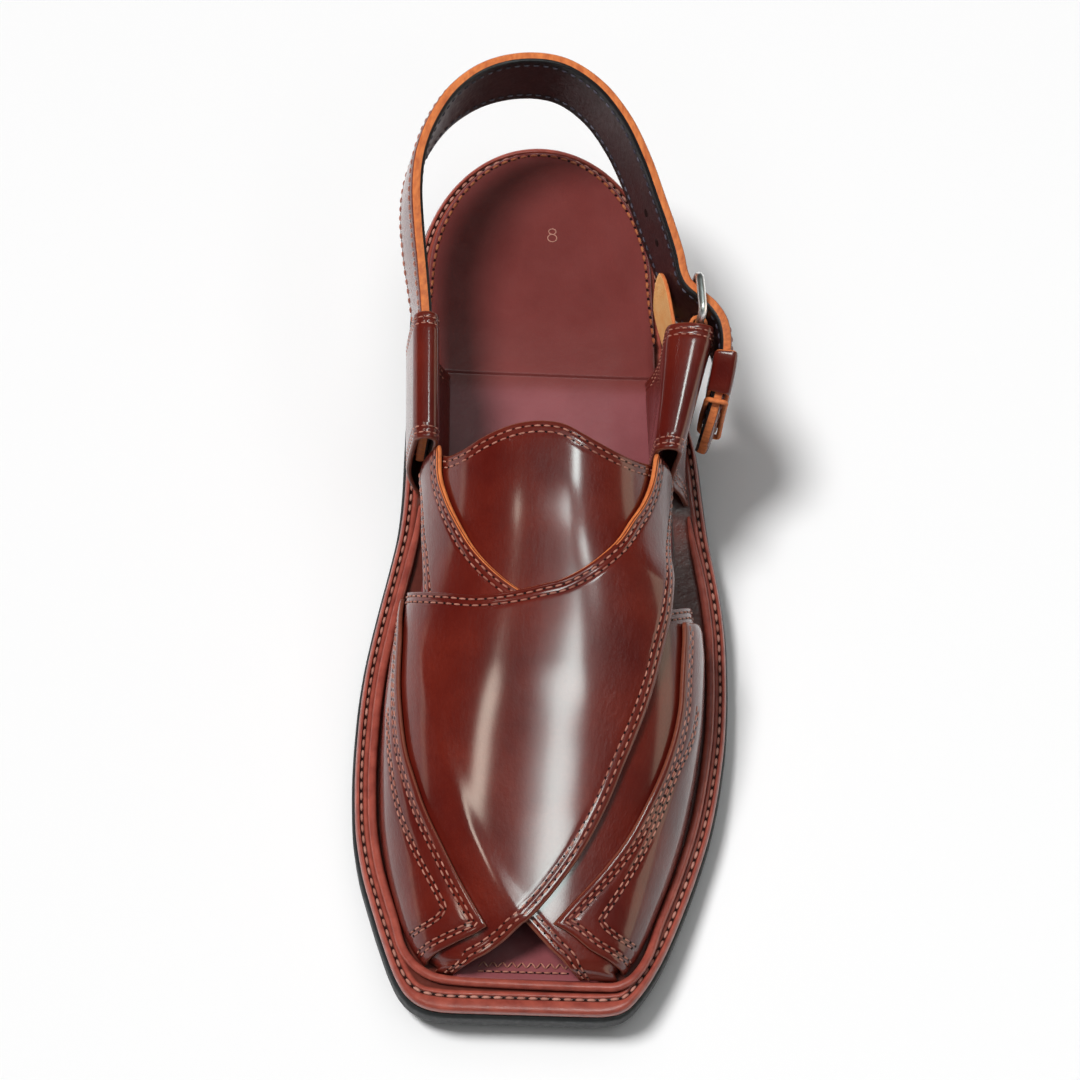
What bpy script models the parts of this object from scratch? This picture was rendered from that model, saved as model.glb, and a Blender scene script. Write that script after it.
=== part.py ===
"""Peshawari chappal, left shoe, UK size 8: sole, crossed panels, sleeves, heel strap and buckle.

Plan positions are worked out in millimetres: x towards the outer side of the foot and s, the distance
from the back of the heel towards the toe. place() turns them into metres, with the toe towards -Y,
the outer side towards +X and the floor at Z = 0.
"""
import bpy
import bmesh
import numpy as np
from mathutils import Vector

# Driving dimensions, in millimetres
MM = 0.001
LENGTH = 290.4
CENTRE_X = 4.0
CENTRE_S = 145.2
HEEL_HALF_WIDTH = 40.4
HEEL_CURVE = 54.0
HEEL_HEIGHT = 14.7
HEEL_BREAST = 64.0
RUBBER = 8.0
MIDSOLE = 4.0
MIDSOLE_INSET = 1.3
INSOLE = 2.0
INSOLE_INSET = 5.0
HEEL_SOCK = 0.8
SOCK_END = 86.0
GAP = 0.35
LAYER_GAP = 0.5
TONGUE_GAP = 0.15
LEATHER = 1.8
TONGUE_LEATHER = 1.5
WING_LEATHER = 1.5
BEAD_RADIUS = 1.35
BEAD_INSET = 6.1
BEAD_POINTS = 66
SLEEVE_WALL = 1.7
SLEEVE_REAR = 88.0
SLEEVE_FRONT = 125.2
STRAP_THICK = 3.6
STRAP_STATIONS = 66
STRAP_OUTSIDE = 47.0
WIRE = 1.3
SOLE_STACK = RUBBER + MIDSOLE + GAP

# Sole edge: station s, inner side x, outer side x
SIDES = (
    (54.0, -40.4, 40.4),
    (66.0, -41.0, 41.6),
    (80.0, -41.0, 43.8),
    (94.0, -41.0, 47.6),
    (108.0, -41.2, 51.4),
    (122.0, -41.4, 53.4),
    (134.0, -42.2, 55.2),
    (146.0, -44.4, 57.8),
    (158.0, -47.0, 59.9),
    (170.0, -49.4, 61.0),
    (184.0, -51.6, 61.2),
    (198.0, -52.8, 60.7),
    (214.0, -53.3, 58.9),
    (230.0, -52.7, 55.9),
    (244.0, -50.6, 51.8),
    (258.0, -46.6, 46.8),
    (270.0, -42.6, 41.9),
    (279.0, -39.2, 37.2),
    (284.5, -36.2, 33.4),
    (287.8, -32.8, 30.6),
    (289.6, -29.0, 27.2),
    (LENGTH, -24.0, 22.5),
)
# Underside of the rubber: station s, height over the floor
UNDERSIDE = (
    (0.0, HEEL_HEIGHT),
    (40.0, HEEL_HEIGHT),
    (66.0, HEEL_HEIGHT),
    (85.0, 13.0),
    (100.0, 10.4),
    (130.0, 4.6),
    (155.0, 1.1),
    (172.0, 0.0),
    (240.0, 0.0),
    (262.0, 1.5),
    (LENGTH, 6.0),
)
# The last over the sole: station s, inner edge x, outer edge x, ridge height
LAST = (
    (118.0, -34.8, 39.6, 72.0),
    (126.0, -34.6, 40.0, 70.8),
    (140.0, -34.0, 40.2, 67.0),
    (155.0, -34.6, 42.6, 61.8),
    (168.0, -36.7, 46.7, 57.6),
    (182.0, -39.0, 48.5, 53.2),
    (198.0, -40.4, 48.0, 48.2),
    (214.0, -40.8, 46.2, 43.4),
    (230.0, -40.2, 43.2, 38.9),
    (244.0, -38.1, 39.2, 34.8),
    (257.0, -34.6, 34.4, 31.2),
    (266.0, -31.4, 30.7, 28.7),
    (272.0, -27.9, 27.5, 26.9),
    (276.0, -23.1, 24.5, 25.6),
    (279.0, -11.5, 17.5, 24.4),
)
RIDGE_SHIFT = -1.0
INNER_FULLNESS = 2.5
OUTER_FULLNESS = 2.35
GIRTH = 62.0
# Insole edge in front of the heel: station s, inner side x, outer side x
INSOLE_SIDES = (
    (54.0, -35.4, 35.4),
    (70.0, -35.0, 36.2),
    (82.0, -32.4, 36.6),
    (100.0, -31.8, 38.6),
    (125.0, -31.4, 41.8),
    (140.0, -32.6, 43.0),
    (155.0, -34.0, 42.0),
    (168.0, -36.6, 46.6),
    (184.0, -39.2, 48.4),
    (200.0, -40.4, 47.8),
    (216.0, -40.7, 45.8),
    (232.0, -39.9, 42.6),
    (246.0, -37.5, 38.4),
    (258.0, -34.1, 33.9),
    (266.0, -31.1, 30.4),
    (272.0, -27.0, 26.8),
    (275.0, -18.5, 19.5),
    (278.6, -16.0, 16.5),
)
# Seams and cut edges on the last: station s, share t of the way round, -1 inner feather to +1 outer
TONGUE_TOP = (
    (127.2, -0.62), (129.8, -0.53), (130.1, -0.42), (128.5, -0.31), (126.6, -0.195), (125.2, -0.095),
    (124.7, -0.01), (125.4, 0.05), (127.4, 0.12), (129.4, 0.2), (131.0, 0.31), (131.2, 0.42),
    (129.8, 0.53), (128.0, 0.62),
)
TONGUE_FOOT = ((196.0, -0.42), (199.0, -0.2), (200.0, 0.0), (199.0, 0.2), (196.0, 0.36))
UNDER_TOP = (
    (126.2, -0.57), (134.7, -0.57), (142.8, -0.51), (151.4, -0.42), (158.9, -0.335), (165.1, -0.245),
    (170.5, -0.15), (174.0, -0.07), (176.5, 0.05), (177.0, 0.2), (176.0, 0.37), (172.4, 0.54),
    (168.5, 0.7), (165.0, 0.85), (162.5, 1.0),
)
UNDER_FREE_REAR = ((126.2, -0.84), (136.0, -0.79), (147.6, -0.74), (157.6, -0.68), (168.4, -0.61),
                   (180.0, -0.55), (195.0, -0.48), (210.0, -0.405), (224.0, -0.33))
UNDER_FREE_FRONT = ((224.0, -0.33), (240.0, -0.23), (255.0, -0.1),
                    (264.7, 0.0), (272.0, 0.133), (276.4, 0.27), (277.6, 0.6))
UNDER_FEATHER = ((162.5, 1.0), (220.0, 1.0), (275.6, 1.0))
OVER_TOP = (
    (126.2, 0.565), (135.2, 0.525), (142.8, 0.458), (150.0, 0.36), (156.8, 0.268), (162.2, 0.175),
    (166.5, 0.095), (170.3, 0.012), (172.6, -0.07), (174.0, -0.18), (174.1, -0.28), (172.7, -0.4),
    (170.3, -0.56), (166.2, -0.75), (161.8, -0.9), (158.5, -1.0),
)
OVER_FREE_REAR = ((126.2, 0.8), (140.0, 0.74), (150.0, 0.665), (158.0, 0.59), (166.0, 0.52),
                  (174.0, 0.485), (182.0, 0.45), (195.0, 0.41), (208.0, 0.364), (221.0, 0.312))
OVER_FREE_FRONT = ((221.0, 0.312), (231.0, 0.275), (239.0, 0.235), (247.0, 0.185),
                   (255.0, 0.115), (262.5, 0.032), (266.5, -0.02), (270.3, -0.09), (273.8, -0.23),
                   (275.8, -0.42), (276.6, -0.72))
OVER_FEATHER = ((158.5, -1.0), (215.0, -1.0), (275.0, -1.0))
INNER_WING = ((167.0, -0.8), (179.2, -0.69), (187.5, -0.67), (195.6, -0.66), (203.0, -0.645),
              (215.0, -0.607), (223.7, -0.552), (233.0, -0.485), (243.7, -0.395), (255.0, -0.302),
              (267.0, -0.185))
INNER_LIMB = ((267.0, -0.185), (268.7, -0.26), (271.4, -0.49), (272.8, -0.75), (273.4, -0.97))
INNER_WING_FEATHER = ((164.0, -1.0), (215.0, -1.0), (262.0, -1.0))
INNER_LIMB_FEATHER = ((262.0, -1.0), (268.0, -1.0), (273.0, -1.0))
OUTER_WING = ((175.9, 0.585), (185.7, 0.58), (193.5, 0.583), (200.0, 0.588), (210.2, 0.578),
              (220.7, 0.542), (230.2, 0.492), (240.4, 0.427), (250.1, 0.335), (258.2, 0.235),
              (265.8, 0.135))
OUTER_LIMB = ((265.8, 0.135), (267.9, 0.228), (272.0, 0.413), (274.4, 0.7), (274.9, 0.97))
OUTER_WING_FEATHER = ((168.8, 1.0), (215.0, 1.0), (262.0, 1.0))
OUTER_LIMB_FEATHER = ((262.0, 1.0), (268.0, 1.0), (274.4, 1.0))
# Where one layer rises over another: fades in millimetres along s and in the share t
TONGUE_FADE_END = 215.0
TONGUE_FADE = 14.0
TONGUE_FADE_SIDE = 0.98
SIDE_FADE = 0.22
UNDER_TOP_MIDDLE = 175.0
UNDER_TOP_SLOPE = 90.0
EDGE_MARGIN = 0.3
TOP_MARGIN = 26.0
TOP_FADE = 19.0
# Rolled bead round the toe: x, station s
BEAD_CORNER_INNER = ((-36.4, 270.5), (-33.8, 274.6), (-30.2, 277.8), (-25.6, 279.8), (-20.0, 280.5))
BEAD_CORNER_OUTER = ((20.5, 281.2), (26.4, 280.9), (30.6, 278.6), (33.6, 275.0), (36.0, 270.5))
BEAD_START = 128.0
# Sleeve sections: station s, centre x, top height, half width, half width at the knee, foot x out, foot x in
INNER_SLEEVE = (
    (SLEEVE_REAR, -35.9, 70.4, 3.2, 3.4, -34.9, -28.2),
    (SLEEVE_FRONT, -34.7, 60.6, 3.2, 3.4, -35.6, -27.4),
)
OUTER_SLEEVE = (
    (SLEEVE_REAR, 44.4, 69.6, 6.6, 6.4, 40.6, 34.2),
    (107.0, 41.6, 64.6, 4.9, 4.6, 44.8, 35.6),
    (SLEEVE_FRONT, 38.5, 59.2, 3.6, 3.6, 47.6, 37.4),
)
SLEEVE_KNEE = 25.0
ARCH_RISE = 3.2
SLEEVE_SWELL = 0.6
INNER_SLEEVE_LEAN = -1.5
OUTER_SLEEVE_LEAN = -0.6
# Heel strap along its upper edge: x, station s, height, sideways shift of the lower edge, width
HEEL_STRAP = (
    (-34.8, 122.0, 57.7, -1.4, 20.0),
    (-35.4, 104.0, 62.5, -1.4, 20.0),
    (-35.9, 88.0, 66.6, -1.5, 20.5),
    (-37.5, 74.0, 71.0, -2.2, 21.0),
    (-39.3, 60.0, 74.6, -3.0, 21.0),
    (-40.2, 48.0, 76.9, -3.3, 21.0),
    (-39.4, 37.0, 78.4, -3.3, 21.0),
    (-36.2, 26.0, 79.3, -3.0, 21.0),
    (-29.6, 14.0, 79.8, -2.2, 21.0),
    (-20.0, 5.6, 80.0, -1.2, 21.0),
    (-8.0, 1.8, 80.0, -0.6, 21.0),
    (4.0, 3.0, 80.0, -1.0, 21.0),
    (15.0, 10.2, 79.7, -2.2, 21.0),
    (23.6, 21.5, 79.1, -3.2, 21.0),
    (30.0, 35.5, 78.2, -3.6, 21.0),
    (34.4, 48.5, 77.0, -3.6, 21.0),
    (38.0, 59.0, 75.4, -3.2, 21.0),
    (40.5, 67.0, 73.8, -2.6, 21.0),
    (41.6, 72.0, 72.6, -2.2, 20.5),
    (43.2, 75.4, 71.8, -1.8, 20.0),
    (47.0, 78.8, 71.2, -1.4, 20.0),
    (50.9, 82.1, 70.4, -1.0, 20.0),
    (53.9, 86.0, 68.8, -0.6, 20.0),
    (55.3, 90.8, 66.2, -0.3, 20.0),
    (55.3, 96.5, 62.2, 0.0, 20.0),
    (54.2, 103.0, 56.6, 0.0, 19.5),
    (52.4, 109.5, 50.8, -0.2, 17.5),
    (51.3, 112.8, 47.2, -0.3, 13.5),
    (50.5, 115.2, 43.2, -0.3, 6.5),
)
# Buckle: corners of the wire frame as x, station s, height
FRAME_CORNERS = ((46.4, 73.6, 74.8), (47.6, 86.0, 73.0), (45.5, 86.0, 47.6), (44.3, 73.6, 48.6))
FRAME_CORNER_RADIUS = 2.6
PRONG_PATH = ((46.9, 82.4, 60.4), (48.2, 72.4, 60.8))
PRONG_RADIUS = 0.9
PRONG_HOLE_RADIUS = 1.5
# Short strap that carries the buckle, bent round the front bar: x, station s
HAIRPIN = (
    (45.2, 101.0), (46.7, 96.0), (48.1, 91.0), (49.3, 87.0), (49.3, 85.2), (48.4, 83.9), (46.9, 83.5),
    (45.4, 84.1), (44.5, 85.8), (44.3, 91.0), (43.8, 96.0), (42.9, 101.0),
)
HAIRPIN_TOP = 65.4
HAIRPIN_SLOPE = 0.27
HAIRPIN_WIDTH = 14.2
HAIRPIN_LEAN = -1.3
HAIRPIN_LEATHER = 1.4
# Flesh-side flap behind the buckle: x, station s, height, sideways shift of the lower edge, width
FLAP = (
    (35.8, 66.8, 61.6, -0.4, 3.0),
    (36.2, 69.0, 64.4, -1.2, 9.5),
    (37.3, 73.5, 66.0, -2.0, 17.0),
    (38.8, 82.0, 66.0, -1.2, 19.0),
    (39.8, 88.0, 64.6, -0.6, 18.0),
    (39.9, 94.0, 63.0, -0.6, 16.5),
)
FLAP_LEATHER = 1.3
# Keeper and lace round the strap's free end: stations, wall and clearance; the strap slants down there
KEEPER_FROM = 95.0
KEEPER_TO = 104.6
KEEPER_WALL = 1.4
KEEPER_CLEARANCE = 0.5
KEEPER_SLANT = 1.5
KEEPER_CORNER = 1.0
LACE_AT = 106.6
LACE_RADIUS = 0.8

# Principled colour, roughness and metallic value of each finish
FINISHES = {
    "black rubber": ((0.012, 0.014, 0.014, 1.0), 0.6, 0.0),
    "edge leather": ((0.17, 0.042, 0.028, 1.0), 0.42, 0.0),
    "glazed leather": ((0.115, 0.018, 0.012, 1.0), 0.24, 0.0),
    "sock leather": ((0.13, 0.03, 0.026, 1.0), 0.38, 0.0),
    "flesh leather": ((0.52, 0.25, 0.09, 1.0), 0.85, 0.0),
    "bright metal": ((0.82, 0.82, 0.8, 1.0), 0.2, 1.0),
}


def smooth_column(table, column, at):
    """Value of one column at the stations in at, by a cubic that never overshoots its rows."""
    rows = np.array(table, dtype=float)
    x, y = rows[:, 0], rows[:, column]
    step = np.diff(x)
    slope = np.diff(y) / step
    tangent = np.zeros_like(y)
    same_way = slope[:-1] * slope[1:] > 0.0
    safe = np.where(same_way, slope[:-1] + slope[1:], 1.0)
    tangent[1:-1] = np.where(same_way, 2.0 * slope[:-1] * slope[1:] / safe, 0.0)
    tangent[0] = slope[0]
    tangent[-1] = slope[-1]
    at = np.clip(np.asarray(at, dtype=float), x[0], x[-1])
    i = np.clip(np.searchsorted(x, at, side="right") - 1, 0, len(x) - 2)
    q = (at - x[i]) / step[i]
    start = y[i] * (1 + 2 * q) * (1 - q) ** 2 + tangent[i] * step[i] * q * (1 - q) ** 2
    end = y[i + 1] * q * q * (3 - 2 * q) - tangent[i + 1] * step[i] * q * q * (1 - q)
    return start + end


def smooth_path(points, count):
    """Count points at even steps along a curve through the given points (centripetal tangents)."""
    points = np.array(points, dtype=float)
    chord = np.sqrt(np.linalg.norm(np.diff(points, axis=0), axis=1))
    knots = np.concatenate([[0.0], np.cumsum(chord)])
    tangent = np.gradient(points, knots, axis=0)
    fine = np.linspace(0.0, knots[-1], 40 * len(points))
    i = np.clip(np.searchsorted(knots, fine, side="right") - 1, 0, len(points) - 2)
    h = (knots[i + 1] - knots[i])[:, None]
    q = ((fine - knots[i]) / h[:, 0])[:, None]
    dense = (points[i] * (1 + 2 * q) * (1 - q) ** 2 + tangent[i] * h * q * (1 - q) ** 2
             + points[i + 1] * q * q * (3 - 2 * q) - tangent[i + 1] * h * q * q * (1 - q))
    walked = np.concatenate([[0.0], np.cumsum(np.linalg.norm(np.diff(dense, axis=0), axis=1))])
    even = np.linspace(0.0, walked[-1], count)
    return np.stack([np.interp(even, walked, dense[:, k]) for k in range(dense.shape[1])], axis=1)


def ramp(value):
    """Smooth step from 0 to 1."""
    value = np.clip(value, 0.0, 1.0)
    return value * value * (3.0 - 2.0 * value)


def place(points):
    """Metres in the part's frame for points given as x, s, z in millimetres."""
    points = np.asarray(points, dtype=float)
    x = points[..., 0] - CENTRE_X
    y = CENTRE_S - points[..., 1]
    return np.stack([x, y, points[..., 2]], axis=-1) * MM


def underside(s):
    return smooth_column(UNDERSIDE, 1, s)


def welt_top(s):
    """Height of the leather that the upper stands on."""
    return underside(s) + SOLE_STACK


def sole_stations():
    """Stations from heel to toe: even angles round the heel's arc, then even steps, then the toe corner."""
    angle = np.radians(np.linspace(9.0, 90.0, 9))
    heel = HEEL_CURVE * (1.0 - np.cos(angle))
    waist = np.linspace(62.0, 276.0, 27)
    toe = np.array([281.0, 284.5, 287.0, 288.8, 289.8, LENGTH])
    return np.concatenate([heel, waist, toe])


def sole_edges(stations):
    """Inner and outer edge of the sole in plan: half an ellipse at the heel, the side table after it."""
    arc = np.clip((HEEL_CURVE - stations) / HEEL_CURVE, 0.0, 1.0)
    heel = HEEL_HALF_WIDTH * np.sqrt(1.0 - arc ** 2)
    inner = np.where(stations < HEEL_CURVE, -heel, smooth_column(SIDES, 1, stations))
    outer = np.where(stations < HEEL_CURVE, heel, smooth_column(SIDES, 2, stations))
    return np.stack([inner, stations], axis=1), np.stack([outer, stations], axis=1)


def inset_ring(inner, outer, inset):
    """The two edges moved inwards along their normals, as one ring: up one side and down the other."""
    ring = np.concatenate([inner, outer[::-1]])
    ahead = np.roll(ring, -1, axis=0) - ring
    behind = ring - np.roll(ring, 1, axis=0)
    along = ahead / np.linalg.norm(ahead, axis=1)[:, None] + behind / np.linalg.norm(behind, axis=1)[:, None]
    along /= np.linalg.norm(along, axis=1)[:, None]
    return ring + inset * np.stack([along[:, 1], -along[:, 0]], axis=1)


def last_base(s, t):
    """Point of the last: a superellipse arch at each station, from feather to feather."""
    s, t = np.broadcast_arrays(np.asarray(s, dtype=float), np.asarray(t, dtype=float))
    inner, outer, ridge = (smooth_column(LAST, column, s) for column in (1, 2, 3))
    middle = 0.5 * (inner + outer) + RIDGE_SHIFT
    reach = np.where(t < 0.0, middle - inner, outer - middle)
    power = np.where(t < 0.0, 2.0 / INNER_FULLNESS, 2.0 / OUTER_FULLNESS)
    angle = np.abs(t) * np.pi / 2.0
    foot = welt_top(s) + 2.0 * GAP
    x = middle + np.sign(t) * reach * np.sin(angle) ** power
    z = foot + (ridge - foot) * np.clip(np.cos(angle), 0.0, 1.0) ** power
    return np.stack([x, s, z], axis=-1)


def on_last(s, t, level):
    """Point at a level over the last, along the outward normal."""
    s, t = np.broadcast_arrays(np.asarray(s, dtype=float), np.asarray(t, dtype=float))
    nudge_s, nudge_t = 0.5, 0.004
    along = last_base(s + nudge_s, t) - last_base(s - nudge_s, t)
    across = last_base(s, np.clip(t + nudge_t, -1, 1)) - last_base(s, np.clip(t - nudge_t, -1, 1))
    normal = np.cross(across, along)
    normal /= np.linalg.norm(normal, axis=-1, keepdims=True)
    return last_base(s, t) + np.asarray(level)[..., None] * normal * out_sign(s, t, normal)


def out_sign(s, t, normal):
    """+1 or -1, whichever turns the normal away from the inside of the last."""
    point = last_base(s, t)
    core = last_base(s, np.zeros_like(t))
    core[..., 2] = 0.5 * (welt_top(s) + core[..., 2])
    facing = np.sum((point - core) * normal, axis=-1, keepdims=True)
    return np.where(facing < 0.0, -1.0, 1.0)


def over_tongue(s, t):
    """1 where the tongue lies underneath, fading to 0 beyond its edges."""
    return ramp((TONGUE_FADE_END - s) / TONGUE_FADE) * ramp((TONGUE_FADE_SIDE - np.abs(t)) / SIDE_FADE)


def over_under_panel(s, t):
    """1 where the under panel lies beneath the over panel, fading to 0 beyond its edges."""
    free = np.array(UNDER_FREE_REAR + UNDER_FREE_FRONT[1:])
    edge = np.interp(s, free[:, 0], free[:, 1])
    top = UNDER_TOP_MIDDLE + UNDER_TOP_SLOPE * np.minimum(t, 0.0)
    past_edge = ramp((t - edge + EDGE_MARGIN) / SIDE_FADE)
    past_top = ramp((s - top + TOP_MARGIN) / TOP_FADE)
    return past_edge * past_top


def under_level(s, t):
    return GAP + (TONGUE_LEATHER + TONGUE_GAP) * over_tongue(s, t)


def over_level(s, t):
    return under_level(s, t) + (LEATHER + LAYER_GAP) * over_under_panel(s, t)


def inner_wing_level(s, t):
    return over_level(s, t) + LEATHER + LAYER_GAP


def outer_wing_level(s, t):
    return under_level(s, t) + LEATHER + LAYER_GAP


def tongue_level(s, t):
    return np.zeros_like(s)


def material(name):
    colour, roughness, metallic = FINISHES[name]
    made = bpy.data.materials.get(name) or bpy.data.materials.new(name)
    made.use_nodes = True
    shader = made.node_tree.nodes["Principled BSDF"]
    shader.inputs["Base Color"].default_value = colour
    shader.inputs["Roughness"].default_value = roughness
    shader.inputs["Metallic"].default_value = metallic
    return made


def add_object(name, data, finish, collection):
    made = bpy.data.objects.new(name, data)
    data.materials.append(material(finish))
    collection.objects.link(made)
    return made


def plate(name, rings, finish, parts):
    """A closed plate through rings of equal count, from its lowest to its highest ring."""
    count = len(rings[0])
    half = count // 2
    vertices = place(np.concatenate(rings))
    faces = []
    for level in range(len(rings) - 1):
        low, high = level * count, (level + 1) * count
        for i in range(count):
            j = (i + 1) % count
            faces.append((low + i, low + j, high + j, high + i))
    top = (len(rings) - 1) * count
    for i in range(half - 1):
        j = count - 1 - i
        faces.append((i, i + 1, j - 1, j))
        faces.append((top + i, top + j, top + j - 1, top + i + 1))
    mesh = bpy.data.meshes.new(name)
    mesh.from_pydata(vertices.tolist(), [], faces)
    turn_outwards(mesh)
    return add_object(name, mesh, finish, parts)


def turn_outwards(mesh):
    work = bmesh.new()
    work.from_mesh(mesh)
    bmesh.ops.recalc_face_normals(work, faces=work.faces)
    work.to_mesh(mesh)
    work.free()


def shell(name, grid, thickness, finish, parts, closed=False, even=True):
    """An open surface on a grid of points with a wall of even thickness on both sides of it."""
    rows, columns = grid.shape[:2]
    faces = []
    for i in range(rows - 1):
        for j in range(columns if closed else columns - 1):
            k = (j + 1) % columns
            faces.append((i * columns + j, i * columns + k, (i + 1) * columns + k, (i + 1) * columns + j))
    mesh = bpy.data.meshes.new(name)
    mesh.from_pydata(place(grid).reshape(-1, 3).tolist(), [], faces)
    mesh.shade_smooth()
    made = add_object(name, mesh, finish, parts)
    wall = made.modifiers.new("wall", "SOLIDIFY")
    wall.thickness = thickness * MM
    wall.offset = 0.0
    wall.use_even_offset = even
    return made


def patch(name, edge_a, edge_b, across, level, thickness, finish, parts):
    """A panel on the last, ruled between two edges that are sampled alike."""
    share = np.linspace(0.0, 1.0, across + 1)[None, :, None]
    ruled = edge_a[:, None, :] * (1.0 - share) + edge_b[:, None, :] * share
    s, t = ruled[..., 0], ruled[..., 1]
    grid = on_last(s, t, level(s, t) + 0.5 * thickness)
    return shell(name, grid, thickness, finish, parts, even=False)


def runs(*pieces):
    """Edges joined end to end, each sampled on its own so that the corners between them stay sharp.

    The share t is scaled to millimetres for the sampling, because a share of 1 is about GIRTH along the last.
    """
    scale = np.array([1.0, GIRTH])
    sampled = [smooth_path(np.array(points) * scale, count) / scale for points, count in pieces]
    return np.concatenate([sampled[0]] + [piece[1:] for piece in sampled[1:]])


def tube(name, points, radius, finish, parts, cyclic=False):
    """A round bar of the given radius along points, with filled ends."""
    curve = bpy.data.curves.new(name, "CURVE")
    curve.dimensions = "3D"
    curve.bevel_depth = radius * MM
    curve.bevel_resolution = 2
    curve.use_fill_caps = not cyclic
    spline = curve.splines.new("POLY")
    spline.points.add(len(points) - 1)
    spline.use_cyclic_u = cyclic
    for point, position in zip(spline.points, place(points)):
        point.co = (*position, 1.0)
    return add_object(name, curve, finish, parts)


def make_sole(parts):
    inner, outer = sole_edges(sole_stations())

    def ring(inset, height):
        flat = inset_ring(inner, outer, inset)
        return np.column_stack([flat, underside(flat[:, 1]) + height])

    plate("outsole", [ring(1.2, 0.0), ring(0.0, 1.2), ring(0.0, RUBBER - 1.0), ring(0.8, RUBBER)],
          "black rubber", parts)
    low = RUBBER + GAP
    high = SOLE_STACK
    plate("midsole", [ring(MIDSOLE_INSET, low), ring(MIDSOLE_INSET, high - 1.2),
                      ring(MIDSOLE_INSET + 0.35, high - 0.35), ring(MIDSOLE_INSET + 1.2, high)],
          "edge leather", parts)


def make_heel_block(parts):
    stations = np.concatenate([sole_stations()[:9], [HEEL_BREAST]])
    inner, outer = sole_edges(stations)

    def ring(inset, height):
        flat = inset_ring(inner, outer, inset)
        return np.column_stack([flat, np.full(len(flat), height)])

    plate("heel_block", [ring(2.6, 0.0), ring(1.8, 1.0), ring(0.6, HEEL_HEIGHT - GAP)], "black rubber", parts)


def make_insole(parts):
    radius = HEEL_CURVE - INSOLE_INSET
    stations = np.concatenate([sole_stations()[:9] / HEEL_CURVE * radius + INSOLE_INSET,
                               np.linspace(62.0, 84.6, 4), [SOCK_END, SOCK_END + 0.6],
                               np.linspace(94.0, 266.0, 22), [269.0, 272.0, 274.0, 275.6, 278.6]])
    arc = np.clip((HEEL_CURVE - stations) / radius, 0.0, 1.0)
    heel = (HEEL_HALF_WIDTH - INSOLE_INSET) * np.sqrt(1.0 - arc ** 2)
    inner_x = np.where(stations < HEEL_CURVE, -heel, smooth_column(INSOLE_SIDES, 1, stations))
    outer_x = np.where(stations < HEEL_CURVE, heel, smooth_column(INSOLE_SIDES, 2, stations))
    inner = np.column_stack([inner_x, stations])
    outer = np.column_stack([outer_x, stations])
    ring = np.concatenate([inner, outer[::-1]])
    low = np.column_stack([ring, welt_top(ring[:, 1]) + GAP])
    thick = INSOLE + HEEL_SOCK * (ring[:, 1] <= SOCK_END)
    high = low + np.column_stack([np.zeros_like(ring), thick])
    plate("insole", [low, high], "sock leather", parts)


def bead_path():
    """The bead's centre in plan: the sole's edge moved in, then round the two toe corners."""
    stations = np.linspace(BEAD_START, 268.0, 22)
    inner, outer = sole_edges(stations)

    def moved(edge, sign):
        along = np.gradient(edge, axis=0)
        along /= np.linalg.norm(along, axis=1)[:, None]
        return edge + BEAD_INSET * sign * np.column_stack([along[:, 1], -along[:, 0]])

    plan = np.concatenate([moved(inner, 1.0)[:-1], BEAD_CORNER_INNER, BEAD_CORNER_OUTER,
                           moved(outer, -1.0)[-2::-1]])
    plan = smooth_path(plan, BEAD_POINTS)
    height = welt_top(plan[:, 1]) + GAP + BEAD_RADIUS
    return np.column_stack([plan, height])


def make_panels(parts):
    patch("tongue", runs((TONGUE_TOP, 19)), runs((TONGUE_FOOT, 19)), 12, tongue_level, TONGUE_LEATHER,
          "glazed leather", parts)
    patch("under_panel", runs((UNDER_FREE_REAR, 17), (UNDER_FREE_FRONT, 14)),
          runs((UNDER_TOP, 17), (UNDER_FEATHER, 14)), 17, under_level, LEATHER, "glazed leather", parts)
    patch("over_panel", runs((OVER_FREE_REAR, 17), (OVER_FREE_FRONT, 14)),
          runs((OVER_TOP, 17), (OVER_FEATHER, 14)), 17, over_level, LEATHER, "glazed leather", parts)
    patch("inner_wing", runs((INNER_WING, 19), (INNER_LIMB, 5)),
          runs((INNER_WING_FEATHER, 19), (INNER_LIMB_FEATHER, 5)), 5, inner_wing_level, WING_LEATHER,
          "glazed leather", parts)
    patch("outer_wing", runs((OUTER_WING, 19), (OUTER_LIMB, 5)),
          runs((OUTER_WING_FEATHER, 19), (OUTER_LIMB_FEATHER, 5)), 5, outer_wing_level, WING_LEATHER,
          "glazed leather", parts)


def sleeve_grid(sections, lean, side):
    """Inverted U over the strap: outer leg from the welt, arch, inner leg down to the insole."""
    stations = np.linspace(SLEEVE_REAR, SLEEVE_FRONT, 9)
    columns = [smooth_column(sections, k, stations) for k in range(1, 7)]
    centre, top, half, knee_half, foot_out, foot_in = columns
    floor = welt_top(stations)
    knee = top - SLEEVE_KNEE
    knee_out = centre + lean + side * knee_half
    knee_in = centre + lean - side * knee_half
    half_wall = 0.5 * SLEEVE_WALL
    rows = [(foot_out, floor + half_wall),
            (0.5 * (foot_out + knee_out) + side * SLEEVE_SWELL, 0.5 * (floor + knee)),
            (knee_out, knee)]
    for angle in np.radians(np.linspace(180.0, 0.0, 7)):
        rows.append((centre - side * half * np.cos(angle),
                     top - ARCH_RISE * (1.0 - np.sin(angle)) - half_wall))
    rows.append((knee_in, knee))
    rows.append((0.5 * (foot_in + knee_in), 0.5 * (floor + knee)))
    rows.append((foot_in, floor + GAP + INSOLE + HEEL_SOCK + half_wall))
    grid = [np.column_stack([x, stations, z]) for x, z in rows]
    return np.stack(grid, axis=1)


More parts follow.
